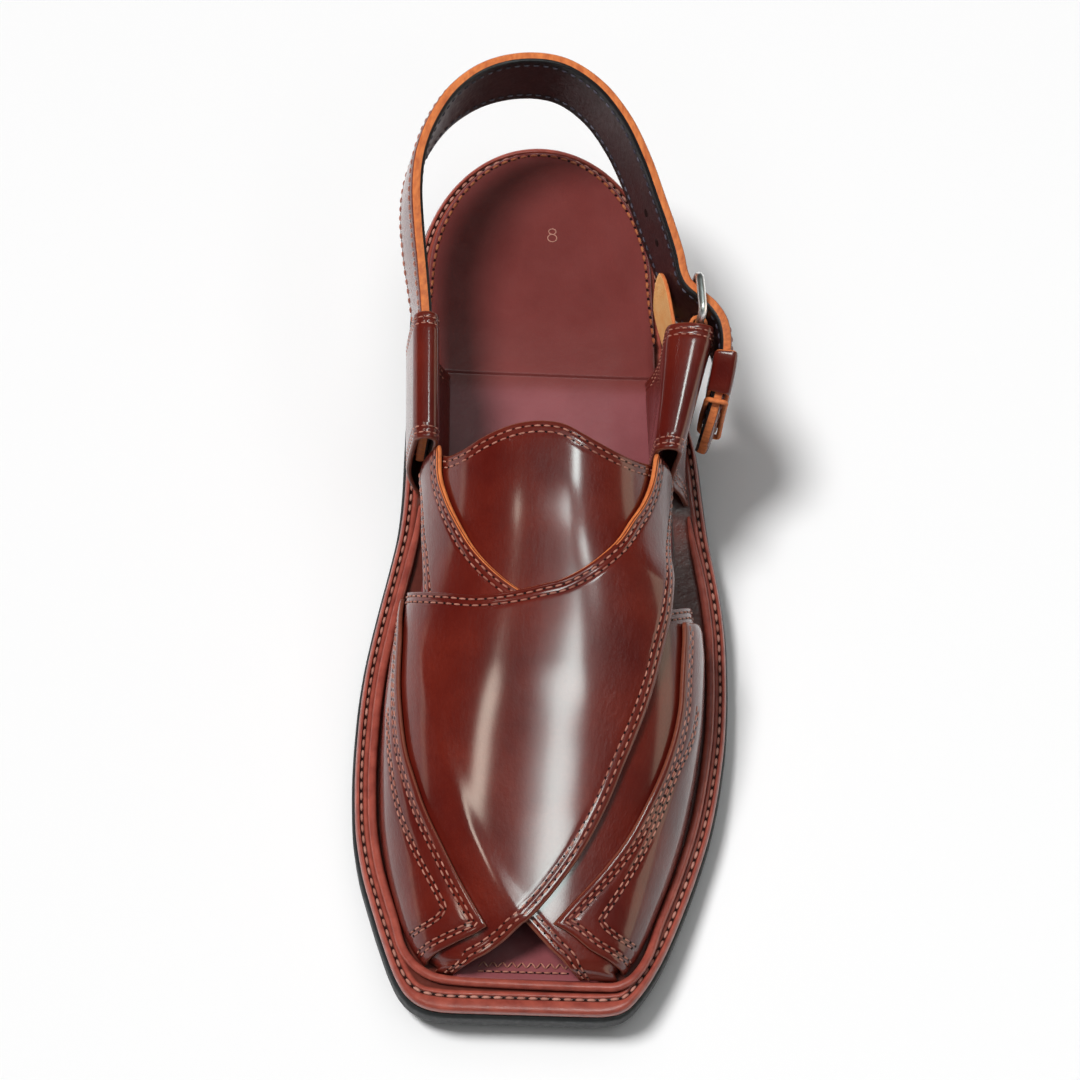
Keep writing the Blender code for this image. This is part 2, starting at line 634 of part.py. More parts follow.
def make_sleeves(parts):
    shell("inner_sleeve", sleeve_grid(INNER_SLEEVE, INNER_SLEEVE_LEAN, -1.0), SLEEVE_WALL,
          "glazed leather", parts)
    shell("outer_sleeve", sleeve_grid(OUTER_SLEEVE, OUTER_SLEEVE_LEAN, 1.0), SLEEVE_WALL,
          "glazed leather", parts)


def band_grid(rows, count, levels):
    """Upright band: its upper edge follows the rows, its lower edge hangs below by the width."""
    path = smooth_path(rows, count)
    down = np.linspace(0.0, 1.0, levels)[None, :]
    x = path[:, 0:1] + path[:, 3:4] * down
    s = path[:, 1:2] + 0.0 * down
    z = path[:, 2:3] - path[:, 4:5] * down
    return np.stack([x, s, z], axis=-1)


def make_heel_strap(parts, cutters):
    strap = shell("heel_strap", band_grid(HEEL_STRAP, STRAP_STATIONS, 3), STRAP_THICK, "glazed leather",
                  parts)
    prong = np.array(PRONG_PATH)
    start, end = place(prong[0]), place(prong[1])
    axis = end - start
    middle = 0.5 * (start + end)
    bpy.ops.mesh.primitive_cylinder_add(vertices=12, radius=PRONG_HOLE_RADIUS * MM, depth=16.0 * MM)
    cutter = bpy.context.object
    cutter.name = "prong_hole_cutter"
    cutter.location = middle
    cutter.rotation_mode = "QUATERNION"
    cutter.rotation_quaternion = Vector(axis.tolist()).to_track_quat("Z", "Y")
    cutter.hide_render = True
    cutter.display_type = "WIRE"
    for old in list(cutter.users_collection):
        old.objects.unlink(cutter)
    cutters.objects.link(cutter)
    hole = strap.modifiers.new("prong hole", "BOOLEAN")
    hole.operation = "DIFFERENCE"
    hole.object = cutter
    return strap


def rounded_loop(corners, radius):
    """Closed loop through the corners, each replaced by three points of a round bend."""
    corners = np.array(corners, dtype=float)
    points = []
    for k, corner in enumerate(corners):
        back = corners[k - 1] - corner
        ahead = corners[(k + 1) % len(corners)] - corner
        back /= np.linalg.norm(back)
        ahead /= np.linalg.norm(ahead)
        points.append(corner + radius * back)
        points.append(corner + 0.3 * radius * (back + ahead))
        points.append(corner + radius * ahead)
    return np.array(points)


def make_buckle(parts):
    tube("buckle_frame", rounded_loop(FRAME_CORNERS, FRAME_CORNER_RADIUS), WIRE, "bright metal", parts,
         cyclic=True)
    tube("buckle_prong", PRONG_PATH, PRONG_RADIUS, "bright metal", parts)
    plan = smooth_path(HAIRPIN, 22)
    down = np.linspace(0.0, 1.0, 3)
    top = HAIRPIN_TOP - HAIRPIN_SLOPE * (plan[:, 1] - plan[:, 1].min())
    grid = np.stack([np.column_stack([plan[:, 0] + HAIRPIN_LEAN * d, plan[:, 1], top - HAIRPIN_WIDTH * d])
                     for d in down], axis=1)
    shell("buckle_strap", grid, HAIRPIN_LEATHER, "glazed leather", parts)
    shell("buckle_flap", band_grid(FLAP, 14, 4), FLAP_LEATHER, "flesh leather", parts)


def strap_section(station, clearance):
    """Rounded rectangle round the strap's free end at a station: its points, in order."""
    path = smooth_path(HEEL_STRAP, STRAP_STATIONS)
    free = path[path[:, 0] > STRAP_OUTSIDE]
    x, z, shift, width = (np.interp(station, free[:, 1], free[:, k]) for k in (0, 2, 3, 4))
    before = np.interp(station - 2.0, free[:, 1], free[:, 0])
    after = np.interp(station + 2.0, free[:, 1], free[:, 0])
    along = np.array([after - before, 4.0])
    along /= np.linalg.norm(along)
    out = np.array([along[1], -along[0]])
    half_thick = 0.5 * STRAP_THICK + clearance
    half_width = 0.5 * width + KEEPER_SLANT * clearance
    corner = KEEPER_CORNER
    outline = []
    for sign_t, sign_w in ((1, 1), (1, -1), (-1, -1), (-1, 1)):
        ends = ((half_thick - corner, half_width), (half_thick, half_width - corner))
        if sign_t * sign_w < 0:
            ends = ends[::-1]
        outline += [(sign_t * a, sign_w * b) for a, b in ends]
    points = []
    for a, b in outline:
        down = 0.5 - b / width
        points.append((x + shift * down + out[0] * a, station + out[1] * a, z - 0.5 * width + b))
    return np.array(points)


def make_keeper(parts):
    stations = np.linspace(KEEPER_FROM, KEEPER_TO, 4)
    grid = np.stack([strap_section(s, KEEPER_CLEARANCE + 0.5 * KEEPER_WALL) for s in stations])
    shell("keeper", grid, KEEPER_WALL, "glazed leather", parts, closed=True)
    ring = strap_section(LACE_AT, KEEPER_CLEARANCE + LACE_RADIUS)
    tube("keeper_lace", ring, LACE_RADIUS, "glazed leather", parts, cyclic=True)


def main():
    for old in list(bpy.data.objects):
        bpy.data.objects.remove(old, do_unlink=True)
    parts = bpy.data.collections.new("peshawari_chappal")
    cutters = bpy.data.collections.new("cutters")
    bpy.context.scene.collection.children.link(parts)
    bpy.context.scene.collection.children.link(cutters)
    make_sole(parts)
    make_heel_block(parts)
    make_insole(parts)
    tube("rand_bead", bead_path(), BEAD_RADIUS, "edge leather", parts)
    make_panels(parts)
    make_sleeves(parts)
    make_heel_strap(parts, cutters)
    make_buckle(parts)
    make_keeper(parts)


main()
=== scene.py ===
"""Peshawari chappal, left shoe: leather, stitching, lining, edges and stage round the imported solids.

Plan positions are in millimetres, as in the solids' source: x towards the outer side of the foot, s from
the back of the heel towards the toe, z over the floor. place() turns them into metres of the frame.
Points on the upper are given on its last as a station s and a share t of the way round, -1 at the inner
feather edge and +1 at the outer one.
"""
import math

import bmesh
import bpy
import numpy as np
from bpy.props import FloatProperty, FloatVectorProperty, PointerProperty
from mathutils import Matrix, Vector


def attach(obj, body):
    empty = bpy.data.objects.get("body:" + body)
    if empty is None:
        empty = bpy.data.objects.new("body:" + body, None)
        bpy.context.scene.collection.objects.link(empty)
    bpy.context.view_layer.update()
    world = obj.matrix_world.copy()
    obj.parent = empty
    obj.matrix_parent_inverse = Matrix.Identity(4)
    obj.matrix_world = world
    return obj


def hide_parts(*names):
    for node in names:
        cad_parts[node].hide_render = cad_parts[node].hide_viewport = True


bl_info = {
    "name": "Peshawari Chappal",
    "version": (1, 0, 0),
    "blender": (4, 5, 0),
    "location": "3D View > Sidebar > Chappal",
    "description": "Leather, stitching, buckle and sole of a left peshawari chappal",
    "category": "Object",
}

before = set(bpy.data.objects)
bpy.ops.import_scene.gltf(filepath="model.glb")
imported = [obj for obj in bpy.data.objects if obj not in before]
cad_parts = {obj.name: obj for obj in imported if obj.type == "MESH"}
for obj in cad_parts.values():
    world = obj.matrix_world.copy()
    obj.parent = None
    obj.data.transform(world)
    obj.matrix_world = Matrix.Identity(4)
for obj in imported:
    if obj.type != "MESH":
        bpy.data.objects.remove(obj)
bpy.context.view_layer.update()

# Driving dimensions in millimetres, the same as in the solids' source
MM = 0.001
LENGTH = 290.4
CENTRE_X = 4.0
CENTRE_S = 145.2
HEEL_HALF_WIDTH = 40.4
HEEL_CURVE = 54.0
HEEL_HEIGHT = 14.7
HEEL_BREAST = 64.0
RUBBER = 8.0
MIDSOLE = 4.0
INSOLE = 2.0
HEEL_SOCK = 0.8
SOCK_END = 86.0
INSOLE_INSET = 5.0
GAP = 0.35
LAYER_GAP = 0.5
TONGUE_GAP = 0.15
LEATHER = 1.8
TONGUE_LEATHER = 1.5
WING_LEATHER = 1.5
BEAD_RADIUS = 1.35
BEAD_INSET = 6.1
BEAD_START = 128.0
SLEEVE_WALL = 1.7
STRAP_THICK = 3.6
STRAP_OUTSIDE = 47.0
WIRE = 1.3
GIRTH = 62.0
SOLE_STACK = RUBBER + MIDSOLE + GAP

# Sole edge: station s, inner side x, outer side x
SIDES = (
    (54.0, -40.4, 40.4), (66.0, -41.0, 41.6), (80.0, -41.0, 43.8), (94.0, -41.0, 47.6), (108.0, -41.2, 51.4),
    (122.0, -41.4, 53.4), (134.0, -42.2, 55.2), (146.0, -44.4, 57.8), (158.0, -47.0, 59.9),
    (170.0, -49.4, 61.0), (184.0, -51.6, 61.2), (198.0, -52.8, 60.7), (214.0, -53.3, 58.9),
    (230.0, -52.7, 55.9), (244.0, -50.6, 51.8), (258.0, -46.6, 46.8), (270.0, -42.6, 41.9),
    (279.0, -39.2, 37.2), (284.5, -36.2, 33.4), (287.8, -32.8, 30.6), (289.6, -29.0, 27.2),
    (LENGTH, -24.0, 22.5),
)
# Underside of the rubber: station s, height over the floor
UNDERSIDE = (
    (0.0, HEEL_HEIGHT), (40.0, HEEL_HEIGHT), (66.0, HEEL_HEIGHT), (85.0, 13.0), (100.0, 10.4), (130.0, 4.6),
    (155.0, 1.1), (172.0, 0.0), (240.0, 0.0), (262.0, 1.5), (LENGTH, 6.0),
)
# The last over the sole: station s, inner edge x, outer edge x, ridge height
LAST = (
    (118.0, -34.8, 39.6, 72.0), (126.0, -34.6, 40.0, 70.8), (140.0, -34.0, 40.2, 67.0),
    (155.0, -34.6, 42.6, 61.8), (168.0, -36.7, 46.7, 57.6), (182.0, -39.0, 48.5, 53.2),
    (198.0, -40.4, 48.0, 48.2), (214.0, -40.8, 46.2, 43.4), (230.0, -40.2, 43.2, 38.9),
    (244.0, -38.1, 39.2, 34.8), (257.0, -34.6, 34.4, 31.2), (266.0, -31.4, 30.7, 28.7),
    (272.0, -27.9, 27.5, 26.9), (276.0, -23.1, 24.5, 25.6), (279.0, -11.5, 17.5, 24.4),
)
RIDGE_SHIFT = -1.0
INNER_FULLNESS = 2.5
OUTER_FULLNESS = 2.35
# Insole edge in front of the heel: station s, inner side x, outer side x
INSOLE_SIDES = (
    (54.0, -35.4, 35.4), (70.0, -35.0, 36.2), (82.0, -32.4, 36.6), (100.0, -31.8, 38.6),
    (125.0, -31.4, 41.8), (140.0, -32.6, 43.0), (155.0, -34.0, 42.0), (168.0, -36.6, 46.6),
    (184.0, -39.2, 48.4), (200.0, -40.4, 47.8), (216.0, -40.7, 45.8), (232.0, -39.9, 42.6),
    (246.0, -37.5, 38.4), (258.0, -34.1, 33.9), (266.0, -31.1, 30.4), (272.0, -27.0, 26.8),
    (275.0, -18.5, 19.5), (278.6, -16.0, 16.5),
)
# Seams and cut edges on the last: station s, share t
TONGUE_TOP = (
    (127.2, -0.62), (129.8, -0.53), (130.1, -0.42), (128.5, -0.31), (126.6, -0.195), (125.2, -0.095),
    (124.7, -0.01), (125.4, 0.05), (127.4, 0.12), (129.4, 0.2), (131.0, 0.31), (131.2, 0.42),
    (129.8, 0.53), (128.0, 0.62),
)
TONGUE_FOOT = ((196.0, -0.42), (199.0, -0.2), (200.0, 0.0), (199.0, 0.2), (196.0, 0.36))
UNDER_TOP = (
    (126.2, -0.57), (134.7, -0.57), (142.8, -0.51), (151.4, -0.42), (158.9, -0.335), (165.1, -0.245),
    (170.5, -0.15), (174.0, -0.07), (176.5, 0.05), (177.0, 0.2), (176.0, 0.37), (172.4, 0.54),
    (168.5, 0.7), (165.0, 0.85), (162.5, 1.0),
)
UNDER_FREE_REAR = (
    (126.2, -0.84), (136.0, -0.79), (147.6, -0.74), (157.6, -0.68), (168.4, -0.61), (180.0, -0.55),
    (195.0, -0.48), (210.0, -0.405), (224.0, -0.33),
)
UNDER_FREE_FRONT = ((224.0, -0.33), (240.0, -0.23), (255.0, -0.1), (264.7, 0.0), (272.0, 0.133),
                    (276.4, 0.27))
UNDER_FEATHER = ((162.5, 1.0), (220.0, 1.0), (275.6, 1.0))
UNDER_TUCK_LEAN = 4.8
OVER_TOP = (
    (126.2, 0.565), (135.2, 0.525), (142.8, 0.458), (150.0, 0.36), (156.8, 0.268), (162.2, 0.175),
    (166.5, 0.095), (170.3, 0.012), (172.6, -0.07), (174.0, -0.18), (174.1, -0.28), (172.7, -0.4),
    (170.3, -0.56), (166.2, -0.75), (161.8, -0.9), (158.5, -1.0),
)
OVER_FREE_REAR = (
    (126.2, 0.8), (140.0, 0.74), (150.0, 0.665), (158.0, 0.59), (166.0, 0.52), (174.0, 0.485),
    (182.0, 0.45), (195.0, 0.41), (208.0, 0.364), (221.0, 0.312),
)
OVER_FREE_FRONT = (
    (221.0, 0.312), (231.0, 0.275), (239.0, 0.235), (247.0, 0.185), (255.0, 0.115), (262.5, 0.032),
    (266.5, -0.02), (270.3, -0.09), (273.8, -0.23), (275.8, -0.42),
)
OVER_FEATHER = ((158.5, -1.0), (215.0, -1.0), (275.0, -1.0))
OVER_TUCK_LEAN = -5.5
INNER_WING = (
    (167.0, -0.8), (179.2, -0.69), (187.5, -0.67), (195.6, -0.66), (203.0, -0.645), (215.0, -0.607),
    (223.7, -0.552), (233.0, -0.485), (243.7, -0.395), (255.0, -0.302), (267.0, -0.185),
)
INNER_LIMB = ((267.0, -0.185), (268.7, -0.26), (271.4, -0.49), (272.8, -0.75), (273.4, -0.97))
INNER_WING_FEATHER = ((164.0, -1.0), (215.0, -1.0), (262.0, -1.0))
INNER_LIMB_FEATHER = ((262.0, -1.0), (268.0, -1.0), (273.0, -1.0))
OUTER_WING = (
    (175.9, 0.585), (185.7, 0.58), (193.5, 0.583), (200.0, 0.588), (210.2, 0.578), (220.7, 0.542),
    (230.2, 0.492), (240.4, 0.427), (250.1, 0.335), (258.2, 0.235), (265.8, 0.135),
)
OUTER_LIMB = ((265.8, 0.135), (267.9, 0.228), (272.0, 0.413), (274.4, 0.7), (274.9, 0.97))
OUTER_WING_FEATHER = ((168.8, 1.0), (215.0, 1.0), (262.0, 1.0))
OUTER_LIMB_FEATHER = ((262.0, 1.0), (268.0, 1.0), (274.4, 1.0))
# Second line of stitching on each wing, which turns back in a V towards the bead
INNER_VEE = ((200.0, -0.77), (213.0, -0.735), (228.0, -0.68), (242.0, -0.578), (252.0, -0.492),
             (260.7, -0.42))
INNER_VEE_LIMB = ((261.6, -0.42), (263.6, -0.46), (265.4, -0.56), (266.6, -0.7), (267.4, -0.9))
OUTER_VEE = ((197.0, 0.713), (208.0, 0.698), (220.0, 0.62), (231.5, 0.578), (244.0, 0.52), (255.0, 0.45),
             (263.4, 0.385))
OUTER_VEE_LIMB = ((264.0, 0.39), (265.6, 0.43), (267.6, 0.54), (268.7, 0.66), (269.3, 0.86))
# Where one layer rises over another: fades in millimetres along s and in the share t. They are longer
# than in the solids, so that the glaze mirrors no step, and still clear the layer underneath.
TONGUE_FADE_END = 238.0
TONGUE_FADE = 46.0
TONGUE_FADE_SIDE = 0.98
SIDE_FADE = 0.3
UNDER_TOP_MIDDLE = 175.0
UNDER_TOP_SLOPE = 90.0
EDGE_MARGIN = 0.3
TOP_MARGIN = 26.0
TOP_FADE = 19.0
# Rolled bead round the toe: x, station s
BEAD_CORNER_INNER = ((-36.4, 270.5), (-33.8, 274.6), (-30.2, 277.8), (-25.6, 279.8), (-20.0, 280.5))
BEAD_CORNER_OUTER = ((20.5, 281.2), (26.4, 280.9), (30.6, 278.6), (33.6, 275.0), (36.0, 270.5))
# Sleeve sections: station s, centre x, top height, half width, half width at the knee, foot x out, foot x in
SLEEVE_REAR = 88.0
SLEEVE_FRONT = 125.2
INNER_SLEEVE = (
    (SLEEVE_REAR, -35.9, 70.4, 3.2, 3.4, -34.9, -28.2),
    (SLEEVE_FRONT, -34.7, 60.6, 3.2, 3.4, -35.6, -27.4),
)
OUTER_SLEEVE = (
    (SLEEVE_REAR, 44.4, 69.6, 6.6, 6.4, 40.6, 34.2),
    (107.0, 41.6, 64.6, 4.9, 4.6, 44.8, 35.6),
    (SLEEVE_FRONT, 38.5, 59.2, 3.6, 3.6, 47.6, 37.4),
)
SLEEVE_KNEE = 25.0
ARCH_RISE = 3.2
SLEEVE_SWELL = 0.6
INNER_SLEEVE_LEAN = -1.5
OUTER_SLEEVE_LEAN = -0.6
# Heel strap along its upper edge: x, station s, height, sideways shift of the lower edge, width
HEEL_STRAP = (
    (-34.8, 122.0, 57.7, -1.4, 20.0), (-35.4, 104.0, 62.5, -1.4, 20.0), (-35.9, 88.0, 66.6, -1.5, 20.5),
    (-37.5, 74.0, 71.0, -2.2, 21.0), (-39.3, 60.0, 74.6, -3.0, 21.0), (-40.2, 48.0, 76.9, -3.3, 21.0),
    (-39.4, 37.0, 78.4, -3.3, 21.0), (-36.2, 26.0, 79.3, -3.0, 21.0), (-29.6, 14.0, 79.8, -2.2, 21.0),
    (-20.0, 5.6, 80.0, -1.2, 21.0), (-8.0, 1.8, 80.0, -0.6, 21.0), (4.0, 3.0, 80.0, -1.0, 21.0),
    (15.0, 10.2, 79.7, -2.2, 21.0), (23.6, 21.5, 79.1, -3.2, 21.0), (30.0, 35.5, 78.2, -3.6, 21.0),
    (34.4, 48.5, 77.0, -3.6, 21.0), (38.0, 59.0, 75.4, -3.2, 21.0), (40.5, 67.0, 73.8, -2.6, 21.0),
    (41.6, 72.0, 72.6, -2.2, 20.5), (43.2, 75.4, 71.8, -1.8, 20.0), (47.0, 78.8, 71.2, -1.4, 20.0),
    (50.9, 82.1, 70.4, -1.0, 20.0), (53.9, 86.0, 68.8, -0.6, 20.0), (55.3, 90.8, 66.2, -0.3, 20.0),
    (55.3, 96.5, 62.2, 0.0, 20.0), (54.2, 103.0, 56.6, 0.0, 19.5), (52.4, 109.5, 50.8, -0.2, 17.5),
    (51.3, 112.8, 47.2, -0.3, 13.5), (50.5, 115.2, 43.2, -0.3, 6.5),
)
# Buckle: corners of the wire frame, and the prong's line, as x, station s, height
FRAME_CORNERS = ((46.4, 73.6, 74.8), (47.6, 86.0, 73.0), (45.5, 86.0, 47.6), (44.3, 73.6, 48.6))
FRAME_CORNER_RADIUS = 2.6
PRONG_PATH = ((46.9, 82.4, 60.4), (48.2, 72.4, 60.8))
PRONG_RADIUS = 0.9
# Short strap that carries the buckle, bent round the front bar: x, station s
HAIRPIN = (
    (45.2, 101.0), (46.7, 96.0), (48.1, 91.0), (49.3, 87.0), (49.3, 85.2), (48.4, 83.9), (46.9, 83.5),
    (45.4, 84.1), (44.5, 85.8), (44.3, 91.0), (43.8, 96.0), (42.9, 101.0),
)
HAIRPIN_TOP = 65.4
HAIRPIN_SLOPE = 0.27
HAIRPIN_WIDTH = 14.2
HAIRPIN_LEAN = -1.3
HAIRPIN_LEATHER = 1.4
# Flesh-side flap behind the buckle: x, station s, height, sideways shift of the lower edge, width
FLAP = (
    (35.8, 66.8, 61.6, -0.4, 3.0), (36.2, 69.0, 64.4, -1.2, 9.5), (37.3, 73.5, 66.0, -2.0, 17.0),
    (38.8, 82.0, 66.0, -1.2, 19.0), (39.8, 88.0, 64.6, -0.6, 18.0), (39.9, 94.0, 63.0, -0.6, 16.5),
)
FLAP_LEATHER = 1.3
KEEPER_FROM = 95.0
KEEPER_TO = 104.6
KEEPER_WALL = 1.4
KEEPER_CLEARANCE = 0.5
KEEPER_SLANT = 1.5
KEEPER_CORNER = 1.0
LACE_AT = 106.6
LACE_RADIUS = 0.8

# Keeper's and lace's counts of points round the strap, and how far the lace waves along it
KEEPER_AROUND = 90
LACE_WAVE = 0.7
# Prong: how far its middle bows out, and the bore through the strap for it
PRONG_BOW = 0.6
PRONG_HOLE_RADIUS = 1.5
PRONG_HOLE_DEPTH = 16.0
# Spare holes in the strap: their stations and radius
STRAP_HOLES = (48.0, 57.5)
STRAP_HOLE_RADIUS = 1.5
STRAP_CROWN = 0.35
# The strap's usual width, and its points along and across
STRAP_WIDTH = 21.0
STRAP_ALONG = 320
STRAP_ACROSS = 17
# Points that an outer face turns away from: x, station s, height
INNER_SLEEVE_CORE = (-35.5, 106.0, 40.0)
OUTER_SLEEVE_CORE = (41.5, 106.0, 40.0)
STRAP_CORE = (0.0, 60.0, 70.0)
HAIRPIN_CORE = (46.8, 90.0, 60.0)
FLAP_CORE = (0.0, 80.0, 60.0)

# Rubber: distance in from the sole's edge, and height over the sole's underside or over the floor
SOLE_PROFILE = (
    (2.2, 0.0), (1.2, 0.0), (0.5, 0.35), (0.1, 1.1), (0.0, 2.2), (0.0, RUBBER - 1.6), (0.12, RUBBER - 0.8),
    (0.5, RUBBER - 0.25), (1.0, RUBBER), (3.0, RUBBER),
)
HEEL_PROFILE = (
    (3.4, 0.0), (2.4, 0.0), (1.9, 0.3), (1.6, 1.0), (0.9, 5.0), (0.75, 6.2), (1.25, 6.4), (0.75, 6.6),
    (0.6, HEEL_HEIGHT - 0.6), (0.9, HEEL_HEIGHT - 0.1),
)
# Welt from its outer edge inwards: share of the way to the stitches, millimetres past them, height over the
# welt's top; and how much painted shade darkens its groove, its bed under the bead and its hidden faces
WELT_EDGE = 1.0
WELT_PROFILE = (
    (0.0, 0.25, -MIDSOLE), (0.0, -0.05, -MIDSOLE * 0.75), (0.0, -0.12, -MIDSOLE * 0.5),
    (0.0, 0.0, -MIDSOLE * 0.25), (0.0, 0.22, -0.45), (0.12, 0.3, 0.05), (0.4, 0.2, 0.42), (0.7, 0.0, 0.32),
    (1.0, -0.75, 0.02), (1.0, -0.4, -0.42), (1.0, 0.0, -0.55), (1.0, 0.4, -0.42), (1.0, 0.75, 0.02),
    (1.0, 1.15, 0.14), (1.0, 1.6, 0.0), (1.0, 2.2, -0.3), (1.0, 3.2, -0.3), (1.0, 5.0, -0.3),
)
GROOVE_BELOW = -0.4
BED_FROM = 1.9
BED_SHADE = 0.75
FOOT_SHADE = 0.5
RING_COUNT = 520
# Bead: points along it, station where its corners start, how deep it sits, points over which it thins
BEAD_COUNT = 300
TOE_START = 268.0
BEAD_DROP = 0.35
BEAD_THINS = 16.0
# Insole: softness of the heel sock's step, station from which its front is squared, length over which that
# happens, half its width there, and its dish and rounded rim as depth and width
SOCK_EDGE_SOFTNESS = 0.5
INSOLE_FRONT = 271.0
INSOLE_FRONT_FADE = 4.0
INSOLE_FRONT_HALF = 21.0
INSOLE_ACROSS = 61
DISH = (0.35, 14.0)
INSOLE_RIM = (0.6, 0.5)
INSOLE_ROLL = (0.12, 2.2)
SEAT_END = 78.0
# Size numeral: its middle as x and station s, and for each loop its shift along s, half width, half height
NUMERAL_AT = (3.7, 35.8)
NUMERAL_LOOPS = ((-1.25, 1.15, 1.0), (1.15, 1.45, 1.35))
NUMERAL_LINE = 0.2
# Rows in the open toe: station and half width of the straight one; and of the zigzag, its step and swing
TOE_ROW = (277.5, 14.5)
ZIGZAG = (275.3, 14.0, 1.4, 0.9)

# Stitch rows: distances from a cut edge, or from the sole's edge on the welt
ROW_OUTER = 1.3
ROW_INNER = 3.1
WING_ROW_OUTER = 1.9
WING_ROW_INNER = 3.2
VEE_ROWS = 1.2
SLEEVE_ROWS = 1.6
STRAP_ROW = 2.3
SEAT_ROW = 1.2
STITCH_INSET_SIDE = 2.9
STITCH_INSET_TOE = 2.6
STITCH_INSET_HEEL = 0.7
ROW_LIMIT = 0.97
# Steps from stitch to stitch, and how much of a step the second row of a pair starts further on
WELT_PITCH = 3.4
SEAT_PITCH = 3.3
TOE_PITCH = 2.5
SLEEVE_PITCH = 2.3
STRAP_PITCH = 3.0
PANEL_STAGGER = 0.45
SLEEVE_STAGGER = 0.4
# Threads: length, width, height, radius of their needle holes
PANEL_THREAD = (2.15, 0.58, 0.5, 0.43)
WELT_THREAD = (2.5, 0.95, 0.8, 0.38)
SEAT_THREAD = (2.2, 0.95, 0.7, 0.5)
TOE_THREAD = (1.9, 0.6, 0.5, 0.3)
ZIGZAG_THREAD = (2.15, 0.5, 0.45)
SLEEVE_THREAD = (1.7, 0.55, 0.45, 0.0)
STRAP_THREAD = (2.3, 0.8, 0.6, 0.4)
LINING_THREAD = (2.1, 0.75, 0.6, 0.0)
STITCH_RINGS = 7
STITCH_SIDES = 6
# Needle hole, drawn in painted shade: share of its radius and height of each ring of its low dome
HOLE_RINGS = ((1.0, -0.12), (0.86, 0.035), (0.45, 0.05), (0.05, 0.05))
HOLE_SIDES = 8

# Relief of the leather, in depth and width: groove along a row, rounding at a cut edge, puff between rows,
# and the hidden panel's edge that presses through
GROOVE_DEPTH = 0.22
GROOVE_WIDTH = 0.6
SLEEVE_GROOVE_DEPTH = 0.2
SLEEVE_GROOVE_WIDTH = 0.5
ROUNDING = 0.22
ROUNDING_WIDTH = 0.45
PUFF = 0.1
PUFF_WIDTH = 1.2
TELEGRAPH_HEIGHT = 0.22
TELEGRAPH_WIDTH = 0.035
TELEGRAPH_FROM = 182.0
TELEGRAPH_FADE = 20.0
RIM_STEPS = 6
EDGE_BULGE = 0.7
# Toe ends that tuck down behind the bead: steps, spaces to bead and welt, least reach, the stations that the
# rows run to, and the rows' share of the lean. A lip is the rows and columns that show the raw colour.
TUCK_STEPS = 6
TUCK_SPACE = 0.25
TUCK_LIFT = 0.5
TUCK_LEAST = 0.2
UNDER_ROWS_END = 276.3
OVER_ROWS_END = 275.6
ROW_LEAN = 0.93
ROW_LEAN_STEP = 0.13
UNDER_LIP = (42, 3)
OVER_LIP = (28, 3)
# Finishes of a panel's outer face, cut edge, inner face and raw edge, as a face's or a rim's number
FACES = ("glazed leather", "burnished edge", "lining leather", "raw edge")
OUTER_FACE, CUT_EDGE, INNER_FACE, RAW_EDGE = range(4)
FAR_FROM_EDGE = 9.0
UP = (0.0, 0.0, 1.0)

# The photographed view: camera position and the middle of the shoe, in millimetres of the frame
CAMERA_AT = (-40.3, -384.8, 861.0)
CAMERA_TARGET = (-2.2, 5.8, 20.0)
CAMERA_UP = (-0.0358, 0.9056, 0.4226)
CAMERA_LENS = 99.8
CLIP_START = 0.01
# Floor: half its side in metres, and how much darker its mottling is
FLOOR_REACH = 40.0
FLOOR_MOTTLE = 0.985
# Room: its share of light high up, and the height of the band at the horizon where it fades
ROOM_HIGH = 0.02
ROOM_EDGE = 0.12
# Lamps in metres: the way the key falls and its angle in degrees, the fill, and the lamps that the glaze
# mirrors with name, place, size, share of strength and colour
KEY_FALLS = (0.42, -0.14, -0.9)
KEY_ANGLE = 16.0
FILL_AT = (0.0, 0.0, 1.6)
FILL_SIZE = (2.5, 2.5)
STRIP_TARGET = (0.0, -0.03, 0.03)
STRIPS = (
    ("strip right", (0.15, -0.30, 0.95), (0.20, 0.14), 0.36, (0.86, 1.0, 0.98)),
    ("strip left", (-0.30, -0.30, 0.95), (0.11, 0.14), 0.14, (1.0, 0.92, 0.78)),
    ("tongue patch", (0.33, -0.05, 0.95), (0.18, 0.10), 0.3, (0.86, 1.0, 0.98)),
    ("warm wall", (1.2, -0.1, 0.30), (1.2, 0.36), 0.5, (1.0, 0.87, 0.66)),
    ("warm wall left", (-1.2, -0.2, 0.16), (1.0, 0.16), 0.14, (1.0, 0.80, 0.66)),
)


def hermite(values, tangents, i, q, step):
    """Cubic between row i and the next at the share q of a step, from both values and both tangents."""
    start = values[i] * (1 + 2 * q) * (1 - q) ** 2 + tangents[i] * step * q * (1 - q) ** 2
    end = values[i + 1] * q * q * (3 - 2 * q) - tangents[i + 1] * step * q * q * (1 - q)
    return start + end


def smooth_column(table, column, at):
    """Value of one column at the stations in at, by a cubic that never overshoots its rows."""
    rows = np.array(table, dtype=float)
    x, y = rows[:, 0], rows[:, column]
    step = np.diff(x)
    slope = np.diff(y) / step
    tangent = np.zeros_like(y)
    same_way = slope[:-1] * slope[1:] > 0.0
    safe = np.where(same_way, slope[:-1] + slope[1:], 1.0)
    tangent[1:-1] = np.where(same_way, 2.0 * slope[:-1] * slope[1:] / safe, 0.0)
    tangent[0] = slope[0]
    tangent[-1] = slope[-1]
    at = np.clip(np.asarray(at, dtype=float), x[0], x[-1])
    i = np.clip(np.searchsorted(x, at, side="right") - 1, 0, len(x) - 2)
    return hermite(y, tangent, i, (at - x[i]) / step[i], step[i])


